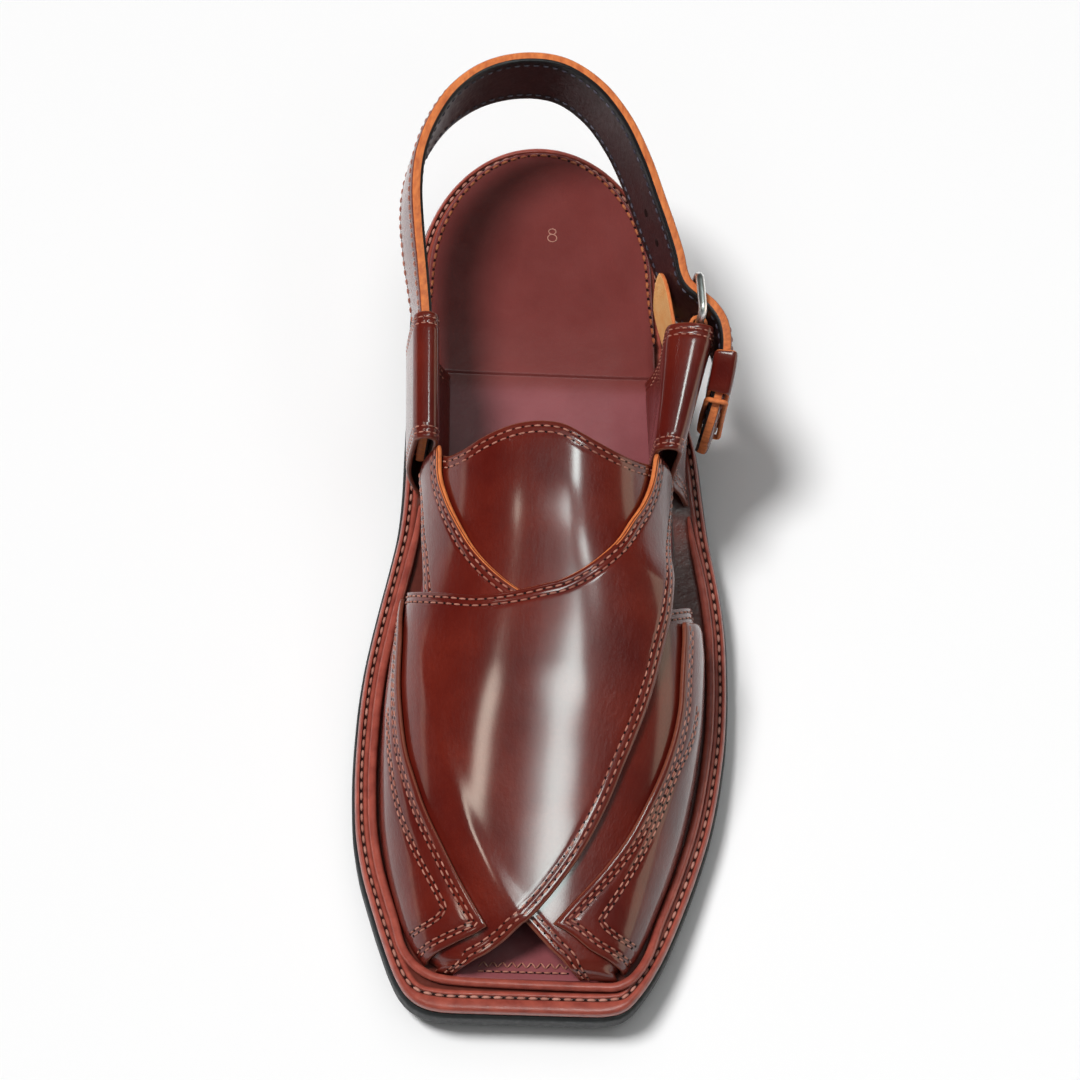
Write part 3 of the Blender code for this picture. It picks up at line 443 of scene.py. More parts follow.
def walked(points):
    """Length along a polyline, from 0 at its first point."""
    return np.concatenate([[0.0], np.cumsum(np.linalg.norm(np.diff(points, axis=0), axis=1))])


def resample(points, count):
    """Count points at even steps of length along a polyline of any number of columns."""
    length = walked(points)
    even = np.linspace(0.0, length[-1], count)
    return np.stack([np.interp(even, length, points[:, k]) for k in range(points.shape[1])], axis=1)


def even_ring(points, count):
    """Count points at even steps round a closed line, whose first point isn't repeated at its end."""
    return resample(np.concatenate([points, points[:1]]), count + 1)[:-1]


def smooth_path(points, count):
    """Count points at even steps along a curve through the given points (centripetal tangents)."""
    points = np.array(points, dtype=float)
    chord = np.sqrt(np.linalg.norm(np.diff(points, axis=0), axis=1))
    knots = np.concatenate([[0.0], np.cumsum(chord)])
    tangent = np.gradient(points, knots, axis=0)
    fine = np.linspace(0.0, knots[-1], 40 * len(points))
    i = np.clip(np.searchsorted(knots, fine, side="right") - 1, 0, len(points) - 2)
    step = (knots[i + 1] - knots[i])[:, None]
    return resample(hermite(points, tangent, i, (fine - knots[i])[:, None] / step, step), count)


def ramp(value):
    """Smooth step from 0 to 1."""
    value = np.clip(value, 0.0, 1.0)
    return value * value * (3.0 - 2.0 * value)


def unit(vectors):
    return vectors / np.maximum(np.linalg.norm(vectors, axis=-1, keepdims=True), 1e-9)


def place(points):
    """Metres in the frame for points given as x, s, z in millimetres."""
    points = np.asarray(points, dtype=float)
    return np.stack([points[..., 0] - CENTRE_X, CENTRE_S - points[..., 1], points[..., 2]], axis=-1) * MM


def underside(s):
    return smooth_column(UNDERSIDE, 1, s)


def welt_top(s):
    """Height of the leather that the upper stands on."""
    return underside(s) + SOLE_STACK


def side_lines(table, inset, stations):
    """Inner and outer x at stations: half an ellipse round the heel, the side table after it."""
    arc = np.clip((HEEL_CURVE - stations) / (HEEL_CURVE - inset), 0.0, 1.0)
    heel = (HEEL_HALF_WIDTH - inset) * np.sqrt(np.maximum(1.0 - arc ** 2, 0.0))
    return [np.where(stations < HEEL_CURVE, sign * heel, smooth_column(table, column, stations))
            for column, sign in ((1, -1.0), (2, 1.0))]


def sole_edges(stations):
    """Inner and outer edge of the sole in plan."""
    return [np.stack([x, stations], axis=1) for x in side_lines(SIDES, 0.0, stations)]


def heel_stations(low, high, count, inset=0.0):
    """Stations round the heel's curve, at even angles from low to high in degrees."""
    angle = np.radians(np.linspace(low, high, count))
    return inset + (HEEL_CURVE - inset) * (1.0 - np.cos(angle))


def sole_ring():
    """The sole's outline as one even ring from the back of the heel, up the inner side and back."""
    stations = np.concatenate([heel_stations(0.0, 90.0, 40), np.linspace(56.0, 280.0, 80),
                               np.linspace(281.0, LENGTH, 16)])
    inner, outer = sole_edges(stations)
    ring = even_ring(np.concatenate([inner, outer[::-1]]), RING_COUNT)
    for _ in range(6):
        ring = 0.5 * ring + 0.25 * (np.roll(ring, 1, axis=0) + np.roll(ring, -1, axis=0))
    return ring


def ring_normals(ring):
    """Inward normals of a closed ring that runs up the inner side first."""
    along = unit(np.roll(ring, -1, axis=0) - np.roll(ring, 1, axis=0))
    return np.stack([along[:, 1], -along[:, 0]], axis=1)


def last_base(s, t):
    """Point of the last: a superellipse arch at each station, from feather to feather."""
    s, t = np.broadcast_arrays(np.asarray(s, dtype=float), np.asarray(t, dtype=float))
    inner, outer, ridge = (smooth_column(LAST, column, s) for column in (1, 2, 3))
    middle = 0.5 * (inner + outer) + RIDGE_SHIFT
    reach = np.where(t < 0.0, middle - inner, outer - middle)
    power = np.where(t < 0.0, 2.0 / INNER_FULLNESS, 2.0 / OUTER_FULLNESS)
    angle = np.abs(t) * np.pi / 2.0
    foot = welt_top(s) + 2.0 * GAP
    x = middle + np.sign(t) * reach * np.sin(angle) ** power
    z = foot + (ridge - foot) * np.clip(np.cos(angle), 0.0, 1.0) ** power
    return np.stack([x, s, z], axis=-1)


def last_frame(s, t):
    """Rates of the last's point with s and with t, and its outward normal, by central differences."""
    nudge_s, nudge_t = 0.5, 0.004
    along = (last_base(s + nudge_s, t) - last_base(s - nudge_s, t)) / (2.0 * nudge_s)
    high, low = np.clip(t + nudge_t, -1, 1), np.clip(t - nudge_t, -1, 1)
    across = (last_base(s, high) - last_base(s, low)) / (high - low)[..., None]
    normal = unit(np.cross(across, along))
    core = last_base(s, np.zeros_like(t))
    core[..., 2] = 0.5 * (welt_top(s) + core[..., 2])
    facing = np.sum((last_base(s, t) - core) * normal, axis=-1, keepdims=True)
    return along, across, np.where(facing < 0.0, -normal, normal)


def on_last(s, t, level):
    """Point at a level over the last, along the outward normal."""
    s, t = np.broadcast_arrays(np.asarray(s, dtype=float), np.asarray(t, dtype=float))
    return last_base(s, t) + np.asarray(level)[..., None] * last_frame(s, t)[2]


def over_tongue(s, t):
    """1 where the tongue lies underneath, fading to 0 beyond its edges."""
    return ramp((TONGUE_FADE_END - s) / TONGUE_FADE) * ramp((TONGUE_FADE_SIDE - np.abs(t)) / SIDE_FADE)


def under_free_edge(s):
    """Share t of the under panel's free edge at the stations s."""
    free = np.array(UNDER_FREE_REAR + UNDER_FREE_FRONT[1:])
    return np.interp(s, free[:, 0], free[:, 1])


def over_under_panel(s, t):
    """1 where the under panel lies beneath the over panel, fading to 0 beyond its edges."""
    top = UNDER_TOP_MIDDLE + UNDER_TOP_SLOPE * np.minimum(t, 0.0)
    return (ramp((t - under_free_edge(s) + EDGE_MARGIN) / SIDE_FADE)
            * ramp((s - top + TOP_MARGIN) / TOP_FADE))


def tongue_level(s, t):
    return np.zeros_like(s)


def under_level(s, t):
    return GAP + (TONGUE_LEATHER + TONGUE_GAP) * over_tongue(s, t)


def over_level(s, t):
    return under_level(s, t) + (LEATHER + LAYER_GAP) * over_under_panel(s, t)


def inner_wing_level(s, t):
    return over_level(s, t) + LEATHER + LAYER_GAP


def outer_wing_level(s, t):
    return under_level(s, t) + LEATHER + LAYER_GAP


def runs(*pieces):
    """Edges joined end to end, each sampled on its own so that the corners between them stay sharp."""
    scale = np.array([1.0, GIRTH])
    sampled = [smooth_path(np.array(points) * scale, count) / scale for points, count in pieces]
    return np.concatenate([sampled[0]] + [piece[1:] for piece in sampled[1:]])


def shift(curve, distance, side):
    """A curve of s and t moved sideways over the last by a distance.

    Each small step goes along the surface at right angles to the curve: the wanted step in space is
    solved for its share along s and along t, which are not at right angles to each other.
    """
    s, t = curve[:, 0].copy(), curve[:, 1].copy()
    steps = max(1, math.ceil(distance))
    for _ in range(steps):
        way = unit(np.gradient(last_base(s, t), axis=0))
        along, across, normal = last_frame(s, t)
        step = np.cross(way, normal) * side * distance / steps
        aa, ac, cc = ((u * v).sum(-1) for u, v in ((along, along), (along, across), (across, across)))
        ba, bc = (step * along).sum(-1), (step * across).sum(-1)
        det = aa * cc - ac * ac
        s = s + (ba * cc - bc * ac) / det
        t = np.clip(t + (bc * aa - ba * ac) / det, -0.995, 0.995)
    return np.stack([s, t], axis=1)


def mitre(first, second):
    """Two curves that cross near a corner, each cut where they come closest and joined there."""
    scale = np.array([1.0, GIRTH])
    apart = np.linalg.norm((first[:, None] - second[None]) * scale, axis=-1)
    i, j = np.unravel_index(np.argmin(apart), apart.shape)
    return np.concatenate([first[:i + 1], second[j:]])


def linked(name, mesh):
    """An object of that name with the mesh, in the scene."""
    made = bpy.data.objects.new(name, mesh)
    bpy.context.scene.collection.objects.link(made)
    return made


def made_piece(name, points, faces, finishes, replaces=(), finish_of_face=None, values=None):
    """A mesh piece from millimetre points and faces, which rides on the shoe's one body.

    finishes are names; finish_of_face picks one for each face, and values holds named numbers for each point.
    """
    mesh = bpy.data.meshes.new(name)
    mesh.from_pydata(place(points).tolist(), [], faces if isinstance(faces, list) else faces.tolist())
    for finish in finishes:
        mesh.materials.append(FINISHES[finish]())
    if finish_of_face is not None:
        mesh.polygons.foreach_set("material_index", np.asarray(finish_of_face, dtype=np.int32))
    for key, numbers in (values or {}).items():
        layer = mesh.attributes.new(key, "FLOAT", "POINT")
        layer.data.foreach_set("value", np.asarray(numbers, dtype=np.float32))
    mesh.shade_smooth()
    made = linked(name, mesh)
    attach(made, "root")
    if replaces:
        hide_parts(*replaces)
    return made


def grid_faces(index):
    """Quads between neighbours of a grid of point numbers."""
    return np.stack([index[:-1, :-1], index[:-1, 1:], index[1:, 1:], index[1:, :-1]], axis=-1).reshape(-1, 4)


def ring_faces(count, sides, cyclic=False):
    """Quads between count rings of equal sides, and from the last ring to the first one when cyclic."""
    i = np.arange(count if cyclic else count - 1)[:, None]
    j = np.arange(sides)[None]
    k, n = (j + 1) % sides, (i + 1) % count
    return np.stack([i * sides + j, i * sides + k, n * sides + k, n * sides + j], axis=-1).reshape(-1, 4)


def skin(outer, inner, closed=False, bulge=0.4, rims=(CUT_EDGE,) * 4, edge=None, lined_from=4):
    """Closed wall between an outer and an inner grid of points, with a rounded rim round its border.

    The rim is a half round: middle of the wall + half wall times cosine + outward times bulge times sine.
    rims gives the finish of the rim at the first row, last column, last row and first column. A raw rim
    keeps the outer finish on its first strip and the inner one past the strip lined_from.
    Returns points, faces, finish of each face and the distance from the edge at each point.
    """
    rows, cols = outer.shape[:2]
    count = rows * cols
    index = np.arange(count).reshape(rows, cols)
    quads = grid_faces(np.concatenate([index, index[:, :1]], axis=1) if closed else index)
    r, c = rows // 2, cols // 2
    normal = np.cross(outer[r, c + 1] - outer[r, c], outer[r + 1, c + 1] - outer[r, c + 1])
    faces_out = np.dot(normal, outer[r, c] - inner[r, c]) > 0.0
    edge = np.full((rows, cols), FAR_FROM_EDGE) if edge is None else edge
    points = [outer.reshape(-1, 3), inner.reshape(-1, 3)]
    faces = [quads, quads[:, ::-1] + count]
    finish = [np.full(len(quads), OUTER_FACE), np.full(len(quads), INNER_FACE)]
    distance = [edge.ravel(), edge.ravel()]
    down, right = np.arange(rows - 1), np.arange(cols - 1)
    if closed:
        everywhere = np.arange(cols)
        loops = [(0 * everywhere, everywhere, np.full(cols, rims[0])),
                 (0 * everywhere + rows - 1, everywhere[::-1], np.full(cols, rims[2]))]
    else:
        loops = [(np.concatenate([0 * right, down, 0 * right + rows - 1, down[::-1] + 1]),
                  np.concatenate([right, 0 * down + cols - 1, right[::-1] + 1, 0 * down]),
                  np.repeat(rims, [cols - 1, rows - 1, cols - 1, rows - 1]))]
    total = 2 * count
    for r, c, kind in loops:
        middle, half = 0.5 * (outer[r, c] + inner[r, c]), 0.5 * (outer[r, c] - inner[r, c])
        inside_c = c if closed else np.clip(c, 1, cols - 2)
        out = middle - 0.5 * (outer + inner)[np.clip(r, 1, rows - 2), inside_c]
        across = unit(half)
        out = unit(out - (out * across).sum(-1, keepdims=True) * across)
        rings = [index[r, c]]
        for k in range(1, RIM_STEPS):
            angle = np.pi * k / RIM_STEPS
            points.append(middle + half * np.cos(angle) + out * bulge * np.sin(angle))
            distance.append(np.zeros(len(r)))
            rings.append(total + np.arange(len(r)))
            total += len(r)
        rings.append(index[r, c] + count)
        for k, (upper, lower) in enumerate(zip(rings[:-1], rings[1:])):
            faces.append(np.stack([np.roll(upper, -1), upper, lower, np.roll(lower, -1)], axis=-1))
            ply = OUTER_FACE if k == 0 else INNER_FACE if k > lined_from else RAW_EDGE
            finish.append(np.where(kind == RAW_EDGE, ply, kind))
    faces = np.concatenate(faces)
    return (np.concatenate(points), faces if faces_out else faces[:, ::-1], np.concatenate(finish),
            np.concatenate(distance))


def grid_normals(grid, closed=False):
    """Unit normals of a grid of points, from its differences along rows and columns."""
    along = np.gradient(grid, axis=0)
    if closed:
        across = np.roll(grid, -1, axis=1) - np.roll(grid, 1, axis=1)
    else:
        across = np.gradient(grid, axis=1)
    return unit(np.cross(along, across))


def border_distance(grid, closed=False):
    """Rough distance of each grid point from the grid's nearest border, its two end rows when closed."""
    down = np.cumsum(np.linalg.norm(np.diff(grid, axis=0, prepend=grid[:1]), axis=-1), axis=0)
    down = np.minimum(down, down[-1:] - down)
    if closed:
        return down
    right = np.cumsum(np.linalg.norm(np.diff(grid, axis=1, prepend=grid[:, :1]), axis=-1), axis=1)
    return np.minimum(down, np.minimum(right, right[:, -1:] - right))


def bell(distance, width):
    """1 at no distance, falling off over the width as a bell curve."""
    return np.exp(-(distance / width) ** 2)


def nearness(points, curve, width):
    """Bell curve of each point's distance from a polyline's points: 1 on it, falling off over the width."""
    flat = points.reshape(-1, 3)
    square = ((flat ** 2).sum(1)[:, None] + (curve ** 2).sum(1)[None] - 2.0 * flat @ curve.T)
    return np.exp(-np.maximum(square.min(axis=1), 0.0) / width ** 2).reshape(points.shape[:-1])


def tuck_steps(last, back, lean):
    """Points that turn down behind the bead from each point of a toe end, and their normals.

    Forward by a sine, down by one minus its cosine, and sideways by the mean of both times the lean.
    """
    bead = bead_line()
    toe = bead[bead[:, 1] > TOE_START]
    x = last[:, 0] + lean
    reach = np.interp(x, toe[:, 0], toe[:, 1]) - BEAD_RADIUS - TUCK_SPACE - back
    reach = np.maximum(reach, last[:, 1] + TUCK_LEAST)
    step = np.column_stack([x, reach, np.minimum(welt_top(reach) + TUCK_LIFT, last[:, 2])]) - last
    turn = np.linspace(0.0, np.pi / 2.0, TUCK_STEPS + 1)[1:, None]
    forward, down = np.sin(turn), 1.0 - np.cos(turn)
    share = np.stack([0.5 * (forward + down), forward, down], axis=-1)
    ahead, rise = np.cos(turn) * step[:, 1], -np.sin(turn) * step[:, 2]
    return last + step * share, unit(np.stack([0.0 * ahead, rise, ahead], axis=-1))


def tucked(grid, back, lean):
    """The grid with rows added at its toe end; the lean fades from its first column to its last one."""
    share = np.linspace(1.0, 0.0, grid.shape[1])
    return np.concatenate([grid, tuck_steps(grid[-1], back, lean * share)[0]])


def to_toe(curve, end):
    """A stitch line carried on straight until the station end."""
    way = curve[-1] - curve[-4]
    return np.concatenate([curve, curve[-1:] + way * max(0.0, end - curve[-1, 0]) / way[0]])


def leather_patch(name, edge_a, edge_b, across, level, thickness, rows, rims, swell=None, lean=0.0,
                  lip=(0, 0), bulge=0.4):
    """A panel on the last, ruled between two edges, pulled down along its stitch rows and at its rim.

    The ruling's steps are closer together at both edges: 0.35 of an even step and 0.65 of half a cosine
    wave's. With a lean, the toe end turns down behind the bead. The lip is the patch beside the last
    column, in rows and columns, where the leather is skived and shows its raw colour.
    """
    even = np.linspace(0.0, 1.0, across + 1)
    share = (0.35 * even + 0.65 * (0.5 - 0.5 * np.cos(np.pi * even)))[None, :, None]
    ruled = edge_a[:, None, :] * (1.0 - share) + edge_b[:, None, :] * share
    s, t = ruled[..., 0], ruled[..., 1]
    base = level(s, t)
    inner = on_last(s, t, base)
    flat = on_last(s, t, base + thickness)
    edge = border_distance(flat)
    relief = PUFF * bell(edge - 0.5 * (ROW_OUTER + ROW_INNER), PUFF_WIDTH)
    relief = relief - ROUNDING * np.exp(-edge / ROUNDING_WIDTH)
    for row in rows:
        line = on_last(*row.T, level(*row.T) + thickness)
        relief = relief - GROOVE_DEPTH * nearness(flat, line, GROOVE_WIDTH)
    if swell is not None:
        relief = relief + swell(s, t)
    outer = on_last(s, t, base + thickness + relief)
    if lean:
        outer, inner = tucked(outer, 0.0, lean), tucked(inner, thickness, lean)
        edge = np.concatenate([edge, np.repeat(edge[-1:], TUCK_STEPS, axis=0)])
    points, faces, finish, distance = skin(outer, inner, rims=rims, edge=edge, bulge=bulge)
    if lip[1]:
        upper = finish[:(outer.shape[0] - 1) * (outer.shape[1] - 1)].reshape(outer.shape[0] - 1, -1)
        upper[:lip[0], -lip[1]:] = RAW_EDGE
    made_piece(name + "_leather", points, faces, FACES, replaces=(name,),
               finish_of_face=finish, values={"edge": distance})


def thread_template(length, width, height):
    """A short thread that dives at both ends: rings along an arch, drawn in to a point at each end."""
    u = np.linspace(-1.0, 1.0, STITCH_RINGS)
    angle = np.linspace(0.0, 2.0 * np.pi, STITCH_SIDES, endpoint=False)
    swell = np.sqrt(np.clip(1.0 - np.abs(u) ** 3, 0.04, 1.0))[:, None]
    x = np.repeat(u[:, None] * length / 2.0, STITCH_SIDES, axis=1)
    y = swell * np.cos(angle) * width / 2.0
    z = swell * np.sin(angle) * height / 2.0 + (height * 0.45 * (1.0 - u ** 2) - 0.15)[:, None]
    return np.stack([x, y, z], axis=-1).reshape(-1, 3), ring_faces(STITCH_RINGS, STITCH_SIDES)


def hole_template(radius):
    """A needle hole: a low dome that carries the hole's painted shade, whose rings have a share of the radius
    and a height.
    """
    angle = np.linspace(0.0, 2.0 * np.pi, HOLE_SIDES, endpoint=False)
    points = [np.column_stack([radius * k * np.cos(angle), radius * k * np.sin(angle), 0.0 * angle + h])
              for k, h in HOLE_RINGS]
    return np.concatenate(points), ring_faces(len(HOLE_RINGS), HOLE_SIDES)


def copies(template, centres, ways, normals):
    """The template set at every centre, its x along the way and its z along the normal, as one mesh."""
    points, faces = template
    ways = unit(ways - (ways * normals).sum(-1, keepdims=True) * normals)
    sides = np.cross(normals, ways)
    frame_of = np.stack([ways, sides, normals], axis=1)
    placed = centres[:, None, :] + np.einsum("pk,nkc->npc", points, frame_of)
    offset = (np.arange(len(centres)) * len(points))[:, None, None]
    tint = (np.sin(np.arange(len(centres)) * 12.9898) * 43758.5453) % 1.0
    return placed.reshape(-1, 3), (faces[None] + offset).reshape(-1, 4), np.repeat(tint, len(points))


class Row:
    """A line of stitches: centres, ways and normals, and the holes between them."""

    def __init__(self, points, normals, pitch, start=0.5):
        self.columns = (points, np.gradient(points, axis=0), normals)
        self.length = walked(points)
        whole = max(2, int(round(self.length[-1] / pitch)))
        step = self.length[-1] / whole
        self.threads = self.read((np.arange(whole - 1) + start) * step)
        self.holes = self.read((np.arange(whole - 1) + start + 0.5) * step)

    def read(self, at):
        """Centre, way and unit normal at lengths along the line."""
        at = np.clip(at, 0.0, self.length[-1])
        centre, way, normal = (np.stack([np.interp(at, self.length, column[:, k]) for k in range(3)], axis=1)
                               for column in self.columns)
        return centre, way, unit(normal)


def flat_row(line, pitch):
    """A row on a face that looks up."""
    return Row(line, np.tile(UP, (len(line), 1)), pitch)


def row_on_last(curve, level, thickness, pitch, start=0.5, sink=0.12, lean=0.0):
    """A stitch row on the outer face of a layer, along a curve of s and t, and down the tuck with a lean."""
    s, t = curve.T
    points, normals = on_last(s, t, level(s, t) + thickness - sink), last_frame(s, t)[2]
    if lean:
        steps, out = tuck_steps(points[-1:], 0.0, lean)
        points, normals = np.concatenate([points, steps[:, 0]]), np.concatenate([normals, out[:, 0]])
    return Row(points, normals, pitch, start)


def sew(name, rows, thread, finish="thread"):
    """All threads of the rows as one piece, and their needle holes, low domes of painted shade, as another."""
    centres, ways, normals = (np.concatenate([row.threads[k] for row in rows]) for k in range(3))
    points, faces, tint = copies(thread_template(*thread[:3]), centres, ways, normals)
    made_piece(name, points, faces, [finish], values={"tint": tint})
    if thread[3]:
        centres, ways, normals = (np.concatenate([row.holes[k] for row in rows]) for k in range(3))
        points, faces, _ = copies(hole_template(thread[3]), centres, ways, normals)
        made_piece(name + "_holes", points, faces, ["needle hole"])


def tube_mesh(path, radius, sides=12, cyclic=False):
    """A round bar carried along a path: circles at right angles to it, with no twist from one to the next."""
    way = (np.roll(path, -1, axis=0) - np.roll(path, 1, axis=0)) if cyclic else np.gradient(path, axis=0)
    way = unit(way)
    side = np.zeros_like(path)
    guess = np.array([0.0, 0.0, 1.0]) if abs(way[0, 2]) < 0.9 else np.array([1.0, 0.0, 0.0])
    for i, direction in enumerate(way):
        guess = guess - np.dot(guess, direction) * direction
        guess = guess / np.linalg.norm(guess)
        side[i] = guess
    up = np.cross(way, side)
    angle = np.linspace(0.0, 2.0 * np.pi, sides, endpoint=False)
    radius = np.broadcast_to(np.asarray(radius, dtype=float), (len(path),))[:, None, None]
    rings = path[:, None] + radius * (side[:, None] * np.cos(angle)[None, :, None]
                                      + up[:, None] * np.sin(angle)[None, :, None])
    count = len(path)
    faces = ring_faces(count, sides, cyclic)[:, ::-1].tolist()
    if not cyclic:
        faces.append(list(range(sides)))
        faces.append(list(range((count - 1) * sides, count * sides))[::-1])
    return rings.reshape(-1, 3), faces


class Shader:
    """A Principled material with a few short calls for its node tree."""

    def __init__(self, name):
        self.material = bpy.data.materials.new(name)
        self.material.use_nodes = True
        self.tree = self.material.node_tree
        self.surface = self.tree.nodes["Principled BSDF"]
        self.where = self.add("ShaderNodeTexCoord").outputs["Object"]

    def add(self, kind, **settings):
        node = self.tree.nodes.new(kind)
        for key, value in settings.items():
            setattr(node, key, value)
        return node

    def link(self, source, target):
        self.tree.links.new(source, target)

    def noise(self, scale, detail=3.0, roughness=0.55, stretch=None):
        node = self.add("ShaderNodeTexNoise")
        node.inputs["Scale"].default_value = scale
        node.inputs["Detail"].default_value = detail
        node.inputs["Roughness"].default_value = roughness
        source = self.where
        if stretch:
            mapping = self.add("ShaderNodeMapping")
            mapping.inputs["Scale"].default_value = stretch
            self.link(self.where, mapping.inputs["Vector"])
            source = mapping.outputs["Vector"]
        self.link(source, node.inputs["Vector"])
        return node.outputs["Fac"]

    def cells(self, scale):
        node = self.add("ShaderNodeTexVoronoi", feature="SMOOTH_F1")
        node.inputs["Scale"].default_value = scale
        self.link(self.where, node.inputs["Vector"])
        return node.outputs["Distance"]

    def attribute(self, name):
        return self.add("ShaderNodeAttribute", attribute_name=name).outputs["Fac"]

    def spread(self, source, low, high, to_low, to_high):
        node = self.add("ShaderNodeMapRange")
        self.link(source, node.inputs["Value"])
        for key, value in (("From Min", low), ("From Max", high), ("To Min", to_low), ("To Max", to_high)):
            node.inputs[key].default_value = value
        return node.outputs["Result"]

    def blend(self, factor, first, second):
        """Mix of two colours, each a tuple or a socket, by a socket or a number.

        The node's colour sockets share their names with others, so they are taken by number.
        """
        node = self.add("ShaderNodeMix", data_type="RGBA")
        for socket, value in zip((node.inputs[0], node.inputs[6], node.inputs[7]), (factor, first, second)):
            if isinstance(value, bpy.types.NodeSocket):
                self.link(value, socket)
            else:
                socket.default_value = value if isinstance(value, float) else (*value, 1.0)
        return node.outputs[2]

    def colour(self, source):
        self.link(source, self.surface.inputs["Base Color"])

    def rough(self, source):
        self.link(source, self.surface.inputs["Roughness"])

    def bump(self, *layers):
        """Bumps one over the other: each layer is a height socket and its depth in metres."""
        last = None
        for height, depth in layers:
            node = self.add("ShaderNodeBump")
            node.inputs["Distance"].default_value = depth
            node.inputs["Strength"].default_value = 1.0
            self.link(height, node.inputs["Height"])
            if last is not None:
                self.link(last, node.inputs["Normal"])
            last = node.outputs["Normal"]
        self.link(last, self.surface.inputs["Normal"])

    def fixed(self, **values):
        for key, value in values.items():
            self.surface.inputs[key.replace("_", " ")].default_value = value


FINISHES = {}


def finish(name):
    """Registers a finish function, which makes its material once and then gives the same one again."""
    def keep(build):
        def give():
            return bpy.data.materials.get(name) or build(name)
        FINISHES[name] = give
        return give
    return keep


def look():
    return bpy.context.scene.chappal_look


@finish("glazed leather")
def glazed_leather(name):
    """Deep red-brown leather with a polished glaze: mottled, darker at its edges, a fine grain under gloss."""
    m = Shader(name)
    light, dark = look().leather_light[:], look().leather_dark[:]
    mottled = m.blend(m.spread(m.noise(38.0, 4.0), 0.35, 0.68, 0.0, 1.0), dark, light)
    fine = m.blend(m.spread(m.noise(900.0, 2.0), 0.3, 0.7, 0.0, 0.35), mottled, dark)
    m.colour(m.blend(m.spread(m.attribute("edge"), 0.0, 3.6, 0.55, 0.0), fine, look().leather_edge[:]))
    m.rough(m.spread(m.noise(160.0, 3.0), 0.3, 0.7, 0.36, 0.46))
    crinkle = m.noise(520.0, 4.0, 0.7, stretch=(1.0, 0.45, 1.0))
    m.bump((m.noise(60.0, 2.0), 0.0004), (crinkle, 0.00022), (m.cells(1500.0), 0.00004))
    m.fixed(Coat_Weight=0.9, Coat_Roughness=0.15, Specular_IOR_Level=0.2)
    return m.material


@finish("burnished edge")
def burnished_edge(name):
    """Cut edge of the panels, dyed and rubbed: a brown with some orange left in it."""
    m = Shader(name)
    m.colour(m.blend(m.noise(700.0, 3.0), (0.13, 0.028, 0.017), (0.25, 0.07, 0.036)))
    m.rough(m.spread(m.noise(500.0), 0.3, 0.7, 0.35, 0.55))
    m.bump((m.noise(1500.0, 2.0), 0.00005))
    return m.material


@finish("raw edge")
def raw_edge(name):
    """Bright orange raw edge of vegetable-tanned leather, with its fibres lying along the cut."""
    m = Shader(name)
    fibres = m.noise(600.0, 4.0, stretch=(1.0, 0.35, 3.0))
    m.colour(m.blend(m.spread(fibres, 0.3, 0.7, 0.0, 1.0), look().raw_dark[:], look().raw_light[:]))
    m.rough(m.spread(fibres, 0.3, 0.7, 0.5, 0.72))
    m.bump((fibres, 0.00018))
    m.fixed(Specular_IOR_Level=0.35)
    return m.material


@finish("lining leather")
def lining_leather(name):
    """Thin dark lining: maroon in the middle, black along its borders, slightly waxy."""
    m = Shader(name)
    middle = m.blend(m.noise(120.0, 4.0), (0.026, 0.008, 0.009), (0.052, 0.015, 0.016))
    m.colour(m.blend(m.spread(m.attribute("edge"), 2.2, 3.4, 0.0, 1.0), (0.008, 0.007, 0.008), middle))
    m.rough(m.spread(m.noise(300.0), 0.3, 0.7, 0.36, 0.52))
    m.bump((m.noise(700.0, 3.0), 0.00012))
    return m.material


@finish("welt leather")
def welt_leather(name):
    """Waxed red-brown welt, mottled, with painted shade that darkens its stitching groove, its bed under the
    bead and its hidden faces.
    """
    m = Shader(name)
    mottling = m.spread(m.noise(260.0, 4.0), 0.3, 0.7, 0.0, 1.0)
    warm = m.blend(mottling, look().welt_dark[:], look().welt_light[:])
    # Painted shade: by the groove value, the welt goes nearly black in its groove, under the bead and on its
    # hidden faces.
    m.colour(m.blend(m.attribute("groove"), warm, (0.045, 0.012, 0.009)))
    m.rough(m.spread(m.noise(420.0), 0.3, 0.7, 0.28, 0.44))
    m.bump((m.noise(240.0, 3.0), 0.0002), (m.noise(1300.0, 2.0), 0.00006))
    m.fixed(Coat_Weight=0.3, Coat_Roughness=0.25)
    return m.material


@finish("sock leather")
def sock_leather(name):
    """Insole leather: smooth red-brown heel sock, and a forepart that is cooler and lighter."""
    m = Shader(name)
    patchy = m.spread(m.noise(30.0, 5.0), 0.3, 0.7, 0.0, 1.0)
    heel = m.blend(patchy, (0.15, 0.028, 0.025), (0.205, 0.045, 0.041))
    fore = m.blend(patchy, (0.19, 0.045, 0.050), (0.28, 0.080, 0.088))
    m.colour(m.blend(m.attribute("fore"), heel, fore))
    m.rough(m.spread(m.noise(220.0, 4.0), 0.3, 0.7, 0.38, 0.54))
    m.bump((m.noise(70.0, 3.0), 0.0004), (m.noise(900.0, 3.0), 0.00007))
    m.fixed(Coat_Weight=0.05, Coat_Roughness=0.3, Specular_IOR_Level=0.35)
    return m.material


@finish("black rubber")
def black_rubber(name):
    """Moulded black sole rubber with a faint cast texture."""
    m = Shader(name)
    m.colour(m.blend(m.noise(90.0, 4.0), (0.010, 0.012, 0.013), (0.024, 0.027, 0.029)))
    m.rough(m.spread(m.noise(600.0), 0.3, 0.7, 0.5, 0.68))
    m.bump((m.noise(1100.0, 3.0), 0.00012))
    return m.material


